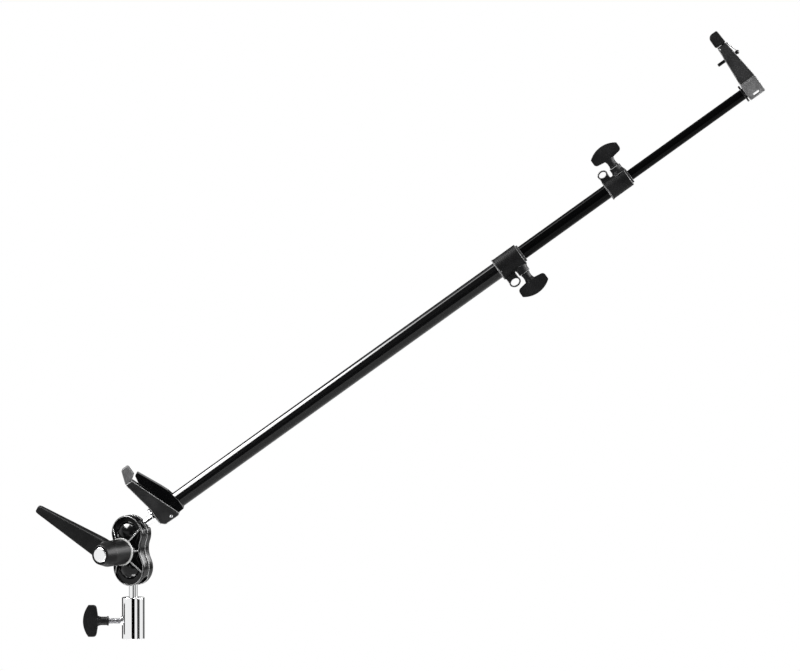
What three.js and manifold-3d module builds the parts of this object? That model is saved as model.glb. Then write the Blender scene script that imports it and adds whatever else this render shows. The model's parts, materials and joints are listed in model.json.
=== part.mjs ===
// Reflector holder arm: a stand socket, a double ball head locked by a lever, and a three-stage telescopic
// arm with a sprung clip at each end. Millimetres, +Z up, origin at the centre of the socket's bottom face.
import * as THREE from "three";
import { mergeVertices } from "three/addons/utils/BufferGeometryUtils.js";
import Module from "manifold-3d";

const wasm = await Module();
wasm.setup();

// Fit of pieces that touch, and the overrun of every cut
const GAP = 0.3;
const OVERRUN = 4;
const WELD = 1e-4;

// Facets round each class of turned piece
const FACETS_LARGE = 28;
const FACETS = 24;
const FACETS_SMALL = 16;
const FACETS_CUP = 20;
const ARC_STEPS = 6;

// How the arm stands in the photograph
const ARM_RISE = THREE.MathUtils.degToRad(35.7);
const HEAD_LEAN = THREE.MathUtils.degToRad(3);
const HEAD_TURN = THREE.MathUtils.degToRad(32);

// Stand socket: fits the 16 mm lighting spigot
const SPIGOT_DIAMETER = 16;
const SPIGOT_PLAY = 0.4;
const SOCKET_DIAMETER = 32;
const SOCKET_HEIGHT = 59;
const SOCKET_BORE_DEPTH = 44;
const SOCKET_EDGE = 1;
const SOCKET_BOSS_RADIUS = 6.5;
const SOCKET_BOSS_HEIGHT = 1.5;
const SOCKET_KNOB_LEVEL = 25.7;

// Round posts that carry the balls
const STEM_DIAMETER = 12;
const STEM_SEAT_DEPTH = 12;
const BALL_DIAMETER = 28;
const BALL_BORE_SHARE = 0.3;
const LOWER_BALL_LEVEL = 101.5;

// Ball head: two ribbed half shells drawn together by a bolt
const BALL_SPACING = 47.6;
const LOBE_RADIUS = 25.8;
const WAIST_HALF_WIDTH = 20.5;
const SPLIT = 2.4;
const SHELL_WALL_HEIGHT = 9.3;
const SHELL_ROUNDING = 3;
const CUP_WALL = 5;
const FRONT_BOSS_RADIUS = 16;
const REAR_BOSS_RADIUS = 12.5;
const WASHER_RADIUS = 19.5;
const FRONT_BOSS_LEVEL = 27.5;
const REAR_BOSS_LEVEL = 20;
const POCKET_RIM = 1.8;
const POCKET_FLOOR_LEVEL = 9;
const RIB_WIDTH = 2;
const RIB_SPREAD = THREE.MathUtils.degToRad(53.7);
const TILT_PLAY = 1;
const LOWER_TILT_HALF_RANGE = THREE.MathUtils.degToRad(45);
const UPPER_TILT_DOWN = THREE.MathUtils.degToRad(5);
const UPPER_TILT_UP = THREE.MathUtils.degToRad(75);
const BOLT_DIAMETER = 8;
const BOLT_HEAD_RADIUS = 7.5;
const BOLT_HEAD_HEIGHT = 5.3;
const BOLT_REACH = 44;
const SPRING_WIRE = 1.6;
const SPRING_MEAN_RADIUS = 6.1;
const SPRING_POCKET_DEPTH = 7;
const SPRING_TURNS = 4;

// Clamp lever
const WASHER_THICKNESS = 2;
const HUB_RADIUS = 18;
const HUB_STRAIGHT = 35;
const HUB_LENGTH = 52.7;
const HUB_END_RADIUS = 13.2;
const HUB_EDGE = 1.5;
const INSERT_RADIUS = 8.7;
const INSERT_LENGTH = 20;
const CAP_RADIUS = 10.3;
const CAP_THICKNESS = 2.2;
const CAP_CROWN = 1;
const CAP_PLUG_LENGTH = 5;
const LEVER_LEVEL = 26.7;
const LEVER_LENGTH = 122;
const LEVER_ANGLE = THREE.MathUtils.degToRad(145.3);
const LEVER_CANT = THREE.MathUtils.degToRad(15);
const LEVER_ROOT_WIDTH = 29;
const LEVER_ROOT_THICKNESS = 17;
const LEVER_TIP_WIDTH = 11.5;
const LEVER_TIP_THICKNESS = 8;

// T-handle knobs and their threaded studs
const STUD_DIAMETER = 8;
const KNOB_GRIP = 14;
const KNOB_STEM_RADIUS = 6;
const KNOB_STEM_EDGE = 1.2;
const KNOB_HALF_SPAN = 22;
const KNOB_FLARE = 2.5;
const KNOB_END_HEIGHT = 11;
const KNOB_CROWN = 7.6;
const KNOB_WIDTH = 15;
const KNOB_BEVEL = 1.5;
const KNOB_CORNER = 3.5;
const SOCKET_STUD_SHOWN = 17;
const SOCKET_KNOB_STEM = 15;
const COLLAR_KNOB_STEM = 12;

// Telescopic tubes, measured along the arm from the upper ball's centre
const TUBE_WALL = 1.5;
const LOWER_TUBE_DIAMETER = 24;
const MIDDLE_TUBE_DIAMETER = 20;
const UPPER_TUBE_DIAMETER = 15;
const LOWER_TUBE_START = 66;
const LOWER_TUBE_END = 648;
const MIDDLE_TUBE_LENGTH = 566;
const MIDDLE_TUBE_END = 836;
const UPPER_TUBE_LENGTH = 572;
const UPPER_TUBE_END = 1062;

// Clamp collars
const LOWER_COLLAR_START = 632;
const LOWER_COLLAR_LENGTH = 39;
const LOWER_COLLAR_DIAMETER = 32;
const LOWER_KNOB_STATION = 660.5;
const LOWER_EYELET_STATION = 642;
const UPPER_COLLAR_START = 821;
const UPPER_COLLAR_LENGTH = 36;
const UPPER_COLLAR_DIAMETER = 27.5;
const UPPER_KNOB_STATION = 849;
const UPPER_EYELET_STATION = 828.6;
const BUSH_WALL = 1.7;
const BUSH_FLANGE = 2.4;
const COLLAR_EDGE = 0.8;
const COLLAR_LIP = 1.6;
const COLLAR_BOSS_RADIUS = 8.5;
const COLLAR_BOSS_RISE = 9;
const PAD_THICKNESS = 1.5;
const LOWER_EYELET_LENGTH = 12.5;
const LOWER_EYELET_HEIGHT = 9;
const LOWER_EYELET_RISE = 27.5;
const UPPER_EYELET_LENGTH = 10.5;
const UPPER_EYELET_HEIGHT = 7.5;
const UPPER_EYELET_RISE = 22.7;
const EYELET_WALL = 2.4;
const EYELET_THICKNESS = 4;

// Lower clip, as stations along the arm and heights above its axis
const FLANGE_STATION = 37;
const FLANGE_THICKNESS = 4;
const FLANGE_DIAMETER = 27;
const STEM_SPIGOT_DIAMETER = 8;
const STEM_SPIGOT_LENGTH = 12;
const LOWER_CLIP_WIDTH = 38;
const CHEEK = 2.6;
const CLIP_FRONT_STATION = 73;
const CLIP_BOTTOM = 17.6;
const CLIP_HEEL = 12;
const CLIP_SEAT_HEIGHT = 14;
const CLIP_TOP_HEIGHT = 60;
const CLIP_TOP_BACK = 33.4;
const CLIP_TOP_FRONT = 44.5;
const CLIP_WEB = 6;
const CLIP_TOP_BLOCK = 8;
const PLUG_REACH = 30;
const HINGE_STATION = 60;
const HINGE_DROP = 12.6;
const HINGE_DIAMETER = 3;
const JAW_SHEET = 2.2;
const JAW_LIP_STATION = 81.5;
const JAW_LIP_DROP = 14;
const JAW_TOP_RISE = 5;
const JAW_TOP_STATION = 57;
const JAW_SHOULDER_STATION = 73;
const JAW_SHOULDER_HEIGHT = 30;
const JAW_WEB_START = 19;
const TIP_HEIGHT = 20;
const TIP_LENGTH = 11;
const TIP_BULGE = 7;
const CLIP_SPRING_WIRE = 0.9;
const CLIP_SPRING_TURNS = 7;

// Upper clip
const BLOCK_START = 1058;
const BLOCK_LENGTH = 25;
const BLOCK_TOP = 12;
const BLOCK_DEPTH = 13;
const BLOCK_WIDTH = 30;
const BLOCK_FLANGE = 2.4;
const BLOCK_SLOT_LENGTH = 10.5;
const BLOCK_SLOT_HEIGHT = 4;
const BLOCK_SLOT_WALL = 2.2;
const BLOCK_SOCKET_DEPTH = 9;
const UPPER_CLIP_HEIGHT = 73;
const UPPER_CLIP_BACK_SHIFT = 4.3;
const UPPER_CLIP_FRONT_SHIFT = 6.3;
const UPPER_CLIP_WIDTH = 28;
const UPPER_CLIP_TOP_WIDTH = 24;
const UPPER_TIP_HEIGHT = 19.5;
const UPPER_TIP_OVERHANG = 2;
const GROOVE = 1.2;
const FLAP_THICKNESS = 3.4;
const FLAP_WIDTH = 16;
const FLAP_PIN_DIAMETER = 2;
const PLUNGER_HEIGHT = 52.8;
const PLUNGER_DIAMETER = 4.6;
const PLUNGER_REACH = 12;
const PLUNGER_BALL_DIAMETER = 6;
const PLUNGER_TAIL = 3.2;
const LEAF_THICKNESS = 0.8;
const LEAF_WIDTH = 6;
const BLOCK_SCREW_DIAMETER = 5;
const BLOCK_SCREW_LENGTH = 14;

// Finishes
const finish = (color, roughness, metalness) =>
  new THREE.MeshStandardMaterial({ color, roughness, metalness });
const CHROME = finish(0xd8dadd, 0.12, 1);
const STEEL = finish(0xa9abad, 0.35, 1);
const BRASS = finish(0xb08d45, 0.35, 1);
const GLOSS_BLACK = finish(0x0c0c0d, 0.22, 0);
const SATIN_BLACK = finish(0x1c1c1d, 0.5, 0);
const TUBE_BLACK = finish(0x101011, 0.3, 0.4);
const DARK_GREY = finish(0x2e2e2f, 0.5, 0);
const CAST_GREY = finish(0x737475, 0.5, 0.3);
const WHITE_NYLON = finish(0xe6e6e4, 0.4, 0);

// Derived sizes of the head
const BALL_RADIUS = BALL_DIAMETER / 2;
const STEM_RADIUS = STEM_DIAMETER / 2;
const BOLT_RADIUS = BOLT_DIAMETER / 2;
const STUD_RADIUS = STUD_DIAMETER / 2;
const HALF_SPACING = BALL_SPACING / 2;
const SPLIT_LEVEL = SPLIT / 2;
const SHELL_TOP = SPLIT_LEVEL + SHELL_WALL_HEIGHT + SHELL_ROUNDING;
const CUP_OUTER_RADIUS = BALL_RADIUS + CUP_WALL;
const UPPER_BALL = new THREE.Vector3(0, 0, LOWER_BALL_LEVEL).add(
  new THREE.Vector3(0, 0, BALL_SPACING).applyAxisAngle(new THREE.Vector3(0, 1, 0), -HEAD_LEAN),
);

// A closed geometry as a solid, turned right side out if its profile ran the other way
function solidOf(geometry) {
  const bare = geometry.index ? geometry.toNonIndexed() : geometry.clone();
  bare.deleteAttribute("normal");
  bare.deleteAttribute("uv");
  const merged = mergeVertices(bare, WELD);
  const corners = [];
  for (let i = 0; i < merged.index.count; i += 3) {
    const [a, b, c] = [0, 1, 2].map((k) => merged.index.getX(i + k));
    if (a !== b && b !== c && c !== a) corners.push(a, b, c);
  }
  const vertProperties = merged.attributes.position.array;
  const made = new wasm.Manifold(
    new wasm.Mesh({ numProp: 3, vertProperties, triVerts: new Uint32Array(corners) }),
  );
  if (made.volume() > 0) return made;
  return new wasm.Manifold(
    new wasm.Mesh({ numProp: 3, vertProperties, triVerts: new Uint32Array(corners.reverse()) }),
  );
}

function geometryOf(solid) {
  const mesh = solid.getMesh();
  const geometry = new THREE.BufferGeometry();
  geometry.setAttribute("position", new THREE.BufferAttribute(mesh.vertProperties, 3));
  geometry.setIndex(new THREE.BufferAttribute(mesh.triVerts, 1));
  return geometry;
}

const join = (first, ...rest) =>
  geometryOf(rest.reduce((all, next) => all.add(solidOf(next)), solidOf(first)));
const cut = (first, ...rest) =>
  geometryOf(rest.reduce((all, next) => all.subtract(solidOf(next)), solidOf(first)));
const common = (first, second) => geometryOf(solidOf(first).intersect(solidOf(second)));

// A profile of [radius, height] points turned about +Z
const turned = (profile, facets = FACETS) =>
  new THREE.LatheGeometry(profile.map(([r, z]) => new THREE.Vector2(r, z)), facets).rotateX(Math.PI / 2);

// A round bar along +Z, with a chamfer at each end where one is given
function bar(radius, from, to, facets = FACETS, startEdge = 0, endEdge = 0) {
  const profile = [[0, from]];
  if (startEdge) profile.push([radius - startEdge, from]);
  profile.push([radius, from + startEdge], [radius, to - endEdge]);
  if (endEdge) profile.push([radius - endEdge, to]);
  profile.push([0, to]);
  return turned(profile, facets);
}

// A ring along +Z with its outer edges chamfered
function sleeve(inner, outer, from, to, facets = FACETS, edge = 0) {
  const profile = [[inner, from], [outer - edge, from]];
  if (edge) profile.push([outer, from + edge], [outer, to - edge]);
  profile.push([outer - edge, to], [inner, to], [inner, from]);
  return turned(profile, facets);
}

const alongX = (geometry) => geometry.rotateY(Math.PI / 2);
const alongY = (geometry) => geometry.rotateX(-Math.PI / 2);

// An outline of [x, y] points as a shape
function outlineOf(points) {
  return new THREE.Shape(points.map(([x, y]) => new THREE.Vector2(x, y)));
}

// A side view of [station, height] points, given its width across the arm, centred on the arm's plane
function slab(points, width, bevel = 0) {
  const shape = Array.isArray(points) ? outlineOf(points) : points;
  const geometry = new THREE.ExtrudeGeometry(shape, {
    depth: width - 2 * bevel,
    bevelEnabled: bevel > 0,
    bevelThickness: bevel,
    bevelSize: bevel,
    bevelOffset: -bevel,
    bevelSegments: 2,
    curveSegments: ARC_STEPS,
  });
  return geometry.translate(0, 0, bevel - width / 2).rotateX(Math.PI / 2);
}

const box = (x0, x1, y0, y1, z0, z1) =>
  new THREE.BoxGeometry(x1 - x0, y1 - y0, z1 - z0).translate((x0 + x1) / 2, (y0 + y1) / 2, (z0 + z1) / 2);

// Rings of equally many points skinned into one closed body
function loft(rings) {
  const count = rings[0].length;
  const points = rings.flat();
  const corners = [];
  for (let r = 0; r + 1 < rings.length; r++)
    for (let i = 0; i < count; i++) {
      const j = (i + 1) % count;
      const [a, b, c, d] = [r * count + i, r * count + j, (r + 1) * count + j, (r + 1) * count + i];
      corners.push(a, b, c, a, c, d);
    }
  for (const [start, flip] of [[0, true], [(rings.length - 1) * count, false]])
    for (let i = 1; i + 1 < count; i++)
      corners.push(start, ...(flip ? [start + i + 1, start + i] : [start + i, start + i + 1]));
  const geometry = new THREE.BufferGeometry().setFromPoints(points);
  return geometry.setIndex(corners);
}

// A rounded rectangle of points across +X at a distance along it
function section(distance, width, thickness, corner) {
  const ring = [];
  const quarters = [[1, 1, 0], [-1, 1, 1], [-1, -1, 2], [1, -1, 3]];
  const steps = 3;
  for (const [sx, sy, turn] of quarters)
    for (let k = 0; k <= steps; k++) {
      const angle = (Math.PI / 2) * (turn + k / steps);
      const y = sx * (width / 2 - corner) + corner * Math.cos(angle);
      const z = sy * (thickness / 2 - corner) + corner * Math.sin(angle);
      ring.push(new THREE.Vector3(distance, y, z));
    }
  return ring;
}

// A wire wound along +Z as one unbroken tube; reports its least gap to itself
function coil(name, meanRadius, wire, from, to, turns) {
  const sides = 5;
  const stepsPerTurn = 8;
  const total = turns * stepsPerTurn;
  const centres = [];
  for (let i = 0; i <= total; i++) {
    const angle = (2 * Math.PI * i) / stepsPerTurn;
    const z = from + wire / 2 + ((to - from - wire) * i) / total;
    centres.push(new THREE.Vector3(meanRadius * Math.cos(angle), meanRadius * Math.sin(angle), z));
  }
  const start = new THREE.Vector3(0, -wire, 0).add(centres[0]);
  const end = new THREE.Vector3(0, wire, 0).add(centres[total]);
  const path = [start, ...centres, end];
  const rings = path.map((centre) => {
    const outward = new THREE.Vector3(centre.x, centre.y, 0).normalize();
    return Array.from({ length: sides }, (_, k) => {
      const angle = (2 * Math.PI * k) / sides;
      return centre
        .clone()
        .addScaledVector(outward, (wire / 2) * Math.cos(angle))
        .add(new THREE.Vector3(0, 0, (wire / 2) * Math.sin(angle)));
    });
  });
  let least = Infinity;
  rings.forEach((ring, i) =>
    rings.slice(i + stepsPerTurn / 2).forEach((other) =>
      ring.forEach((p) => other.forEach((q) => (least = Math.min(least, p.distanceTo(q))))),
    ),
  );
  console.log(name + " least gap to itself " + least.toFixed(2) + " mm");
  return loft(rings);
}

const root = new THREE.Group();

function place(group, name, geometry, material) {
  const mesh = new THREE.Mesh(geometryOf(solidOf(geometry)), material);
  mesh.name = name;
  group.add(mesh);
  return mesh;
}

function frameIn(parent, x = 0, y = 0, z = 0) {
  const group = new THREE.Group();
  group.position.set(x, y, z);
  parent.add(group);
  return group;
}

// A T-handle: its stem starts at one height and its wings flare from another, along +Z with the wings along X
function tHandle(stemStart, wingStart) {
  const side = wingStart + KNOB_FLARE;
  const end = side + KNOB_END_HEIGHT;
  const crown = end + KNOB_CROWN;
  const profile = new THREE.Shape();
  profile.moveTo(-KNOB_STEM_RADIUS, wingStart);
  profile.lineTo(KNOB_STEM_RADIUS, wingStart);
  profile.lineTo(KNOB_HALF_SPAN - KNOB_CORNER, side);
  profile.quadraticCurveTo(KNOB_HALF_SPAN, side, KNOB_HALF_SPAN, side + KNOB_CORNER);
  profile.lineTo(KNOB_HALF_SPAN, end);
  profile.quadraticCurveTo(KNOB_HALF_SPAN / 2, crown, 0, crown);
  profile.quadraticCurveTo(-KNOB_HALF_SPAN / 2, crown, -KNOB_HALF_SPAN, end);
  profile.lineTo(-KNOB_HALF_SPAN, side + KNOB_CORNER);
  profile.quadraticCurveTo(-KNOB_HALF_SPAN, side, -KNOB_HALF_SPAN + KNOB_CORNER, side);
  const wings = slab(profile, KNOB_WIDTH, KNOB_BEVEL);
  const stem = bar(KNOB_STEM_RADIUS, stemStart, wingStart + KNOB_FLARE, FACETS_SMALL, KNOB_STEM_EDGE);
  const grip = bar(STUD_RADIUS + GAP, stemStart - OVERRUN, stemStart + KNOB_GRIP, FACETS_SMALL);
  return cut(join(wings, stem), grip);
}

// Its stud, from the inner tip to the bottom of the handle's hole
const studOf = (tip, stemStart) =>
  bar(STUD_RADIUS, tip, stemStart + KNOB_GRIP - GAP, FACETS_SMALL, KNOB_STEM_EDGE);

// A ball with a blind bore for its stem, opening towards -Z
function ball() {
  const bore = STEM_RADIUS + GAP;
  const floor = BALL_RADIUS * BALL_BORE_SHARE;
  const mouthAngle = -Math.acos(bore / BALL_RADIUS);
  const steps = ARC_STEPS + 4;
  const profile = [[0, floor], [bore, floor]];
  for (let i = 0; i <= steps; i++) {
    const angle = mouthAngle + ((Math.PI / 2 - mouthAngle) * i) / steps;
    profile.push([i === steps ? 0 : BALL_RADIUS * Math.cos(angle), BALL_RADIUS * Math.sin(angle)]);
  }
  return turned(profile, FACETS);
}

// Stand socket with its T-handle
function addSocket() {
  const outer = SOCKET_DIAMETER / 2;
  const bore = (SPIGOT_DIAMETER + SPIGOT_PLAY) / 2;
  const seat = STEM_RADIUS + GAP;
  const seatFloor = SOCKET_HEIGHT - STEM_SEAT_DEPTH;
  const body = turned(
    [
      [0, SOCKET_BORE_DEPTH],
      [bore, SOCKET_BORE_DEPTH],
      [bore, SOCKET_EDGE],
      [bore + SOCKET_EDGE, 0],
      [outer - SOCKET_EDGE, 0],
      [outer, SOCKET_EDGE],
      [outer, SOCKET_HEIGHT - SOCKET_EDGE],
      [outer - SOCKET_EDGE, SOCKET_HEIGHT],
      [seat, SOCKET_HEIGHT],
      [seat, seatFloor],
      [0, seatFloor],
    ],
    FACETS_LARGE,
  );
  const toKnob = (geometry) => geometry.rotateY(-Math.PI / 2).translate(0, 0, SOCKET_KNOB_LEVEL);
  const wallMiddle = (bore + outer) / 2;
  const boss = toKnob(bar(SOCKET_BOSS_RADIUS, wallMiddle, outer + SOCKET_BOSS_HEIGHT, FACETS_SMALL));
  const hole = toKnob(bar(STUD_RADIUS + GAP, 0, outer + OVERRUN, FACETS_SMALL));
  place(root, "stand_socket", cut(join(body, boss), hole), CHROME);

  const ballFloor = BALL_RADIUS * BALL_BORE_SHARE - GAP;
  const stem = bar(STEM_RADIUS, seatFloor + GAP, LOWER_BALL_LEVEL + ballFloor, FACETS_SMALL);
  place(root, "lower_stem", stem, CHROME);
  place(frameIn(root, 0, 0, LOWER_BALL_LEVEL), "lower_ball", ball(), STEEL);

  const knob = frameIn(root, 0, 0, SOCKET_KNOB_LEVEL);
  knob.rotation.y = -Math.PI / 2;
  const stemStart = outer + SOCKET_BOSS_HEIGHT + SOCKET_STUD_SHOWN;
  place(knob, "socket_stud", studOf(bore + GAP, stemStart), CHROME);
  place(knob, "socket_knob", tHandle(stemStart, stemStart + SOCKET_KNOB_STEM), SATIN_BLACK);
}

// Outline of the head: two round lobes joined by hollow waists, centred on the bolt
function peanut(inset = 0) {
  const lobe = LOBE_RADIUS - inset;
  const waist = WAIST_HALF_WIDTH - inset;
  const hollow = (HALF_SPACING ** 2 + waist ** 2 - lobe ** 2) / (2 * (lobe - waist));
  const centre = waist + hollow;
  const angle = Math.atan2(HALF_SPACING, centre);
  const shape = new THREE.Shape();
  shape.absarc(centre, 0, hollow, Math.PI + angle, Math.PI - angle, true);
  shape.absarc(0, HALF_SPACING, lobe, -angle, Math.PI + angle, false);
  shape.absarc(-centre, 0, hollow, angle, -angle, true);
  shape.absarc(0, -HALF_SPACING, lobe, Math.PI - angle, 2 * Math.PI + angle, false);
  return shape;
}

// A closed outline's distinct points, without the one that repeats the first
function cleanShape(shape, divisions) {
  const points = shape.getPoints(divisions);
  const kept = points.filter((p, i) => p.distanceTo(points[(i + 1) % points.length]) > WELD);
  return new THREE.Shape(kept);
}

function flatExtrude(shape, from, to) {
  const settings = { depth: to - from, bevelEnabled: false, curveSegments: ARC_STEPS };
  return new THREE.ExtrudeGeometry(shape, settings).translate(0, 0, from);
}

// A roof from the shell's rim up to its boss, under which the ribs end
function ribRoof(bossRadius, top) {
  const outline = cleanShape(peanut(POCKET_RIM / 2), ARC_STEPS).getPoints();
  const ring = (level) => outline.map((p) => new THREE.Vector3(p.x, p.y, level));
  const crown = outline.map((p) => {
    const edge = p.clone().setLength(bossRadius);
    return new THREE.Vector3(edge.x, edge.y, top);
  });
  return loft([ring(0), ring(SPLIT_LEVEL + SHELL_WALL_HEIGHT + SHELL_ROUNDING / 2), crown]);
}

// One half shell, lying flat: split plane down, bolt along +Z
function halfShell(bossRadius, bossLevel) {
  const rounding = SHELL_ROUNDING;
  const blank = new THREE.ExtrudeGeometry(cleanShape(peanut(), ARC_STEPS + 2), {
    depth: SHELL_WALL_HEIGHT,
    bevelEnabled: true,
    bevelThickness: rounding,
    bevelSize: rounding,
    bevelOffset: -rounding,
    bevelSegments: 3,
    curveSegments: 1,
  }).translate(0, 0, SPLIT_LEVEL);
  const above = box(
    -LOBE_RADIUS - OVERRUN, LOBE_RADIUS + OVERRUN,
    -HALF_SPACING - LOBE_RADIUS - OVERRUN, HALF_SPACING + LOBE_RADIUS + OVERRUN,
    SPLIT_LEVEL, bossLevel + OVERRUN,
  );
  const pocketFloor = POCKET_FLOOR_LEVEL;
  const pockets = flatExtrude(cleanShape(peanut(POCKET_RIM), ARC_STEPS), pocketFloor, SHELL_TOP + OVERRUN);
  const cups = [1, -1].map((side) =>
    new THREE.SphereGeometry(CUP_OUTER_RADIUS, FACETS_CUP, FACETS_CUP / 2)
      .rotateX(Math.PI / 2)
      .translate(0, side * HALF_SPACING, 0),
  );
  const bars = [0, RIB_SPREAD, -RIB_SPREAD].map((angle) =>
    box(-BALL_SPACING, BALL_SPACING, -RIB_WIDTH / 2, RIB_WIDTH / 2, 0, bossLevel).rotateZ(angle),
  );
  const ribs = common(join(...bars), ribRoof(bossRadius, bossLevel - RIB_WIDTH));
  const boss = bar(bossRadius, SPLIT_LEVEL, bossLevel, FACETS_LARGE, 0, SOCKET_EDGE);
  const rimInset = POCKET_RIM / 2;
  const rimOutline = cleanShape(peanut(rimInset), ARC_STEPS);
  const inside = common(join(...cups, ribs), flatExtrude(rimOutline, 0, bossLevel));
  const cast = common(join(cut(blank, pockets), inside, boss), above);
  const seats = [1, -1].map((side) =>
    new THREE.SphereGeometry(BALL_RADIUS + 2 * GAP, FACETS_CUP, FACETS_CUP / 2)
      .rotateX(Math.PI / 2)
      .translate(0, side * HALF_SPACING, 0),
  );
  const bore = bar(BOLT_RADIUS + GAP, -OVERRUN, bossLevel + OVERRUN, FACETS_SMALL);
  const springPocket = bar(
    SPRING_MEAN_RADIUS + SPRING_WIRE / 2 + 2 * GAP, -OVERRUN, SPLIT_LEVEL + SPRING_POCKET_DEPTH, FACETS_SMALL,
  );
  return cut(cast, ...seats, bore, springPocket);
}

// The space a ball's stem sweeps as the ball tilts about the bolt's direction, in the head's frame
function tiltSlot(direction, down, up) {
  const flat = Math.hypot(direction.x, direction.z);
  const rise = Math.atan2(direction.y, flat);
  const rest = Math.atan2(direction.z, direction.x);
  const half = STEM_RADIUS + TILT_PLAY;
  const near = BALL_RADIUS / 2;
  const far = 2 * LOBE_RADIUS;
  const corner = (along, across) => new THREE.Vector2(
    along * Math.cos(rise) - across * Math.sin(rise),
    along * Math.sin(rise) + across * Math.cos(rise),
  );
  const profile = [corner(near, -half), corner(far, -half), corner(far, half), corner(near, half)];
  const cone = new THREE.LatheGeometry([...profile, profile[0]], FACETS);
  const fan = new THREE.Shape();
  fan.moveTo(0, 0);
  fan.lineTo(2 * far * Math.cos(rest - down), 2 * far * Math.sin(rest - down));
  fan.absarc(0, 0, 2 * far, rest - down, rest + up, false);
  const wedge = flatExtrude(fan, -far, far).rotateX(Math.PI / 2);
  const ends = [rest - down, rest + up].map((angle) =>
    alongX(bar(half, 0, far, FACETS_SMALL)).rotateZ(rise).rotateY(-angle),
  );
  return join(common(cone, wedge), ...ends);
}

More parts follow.
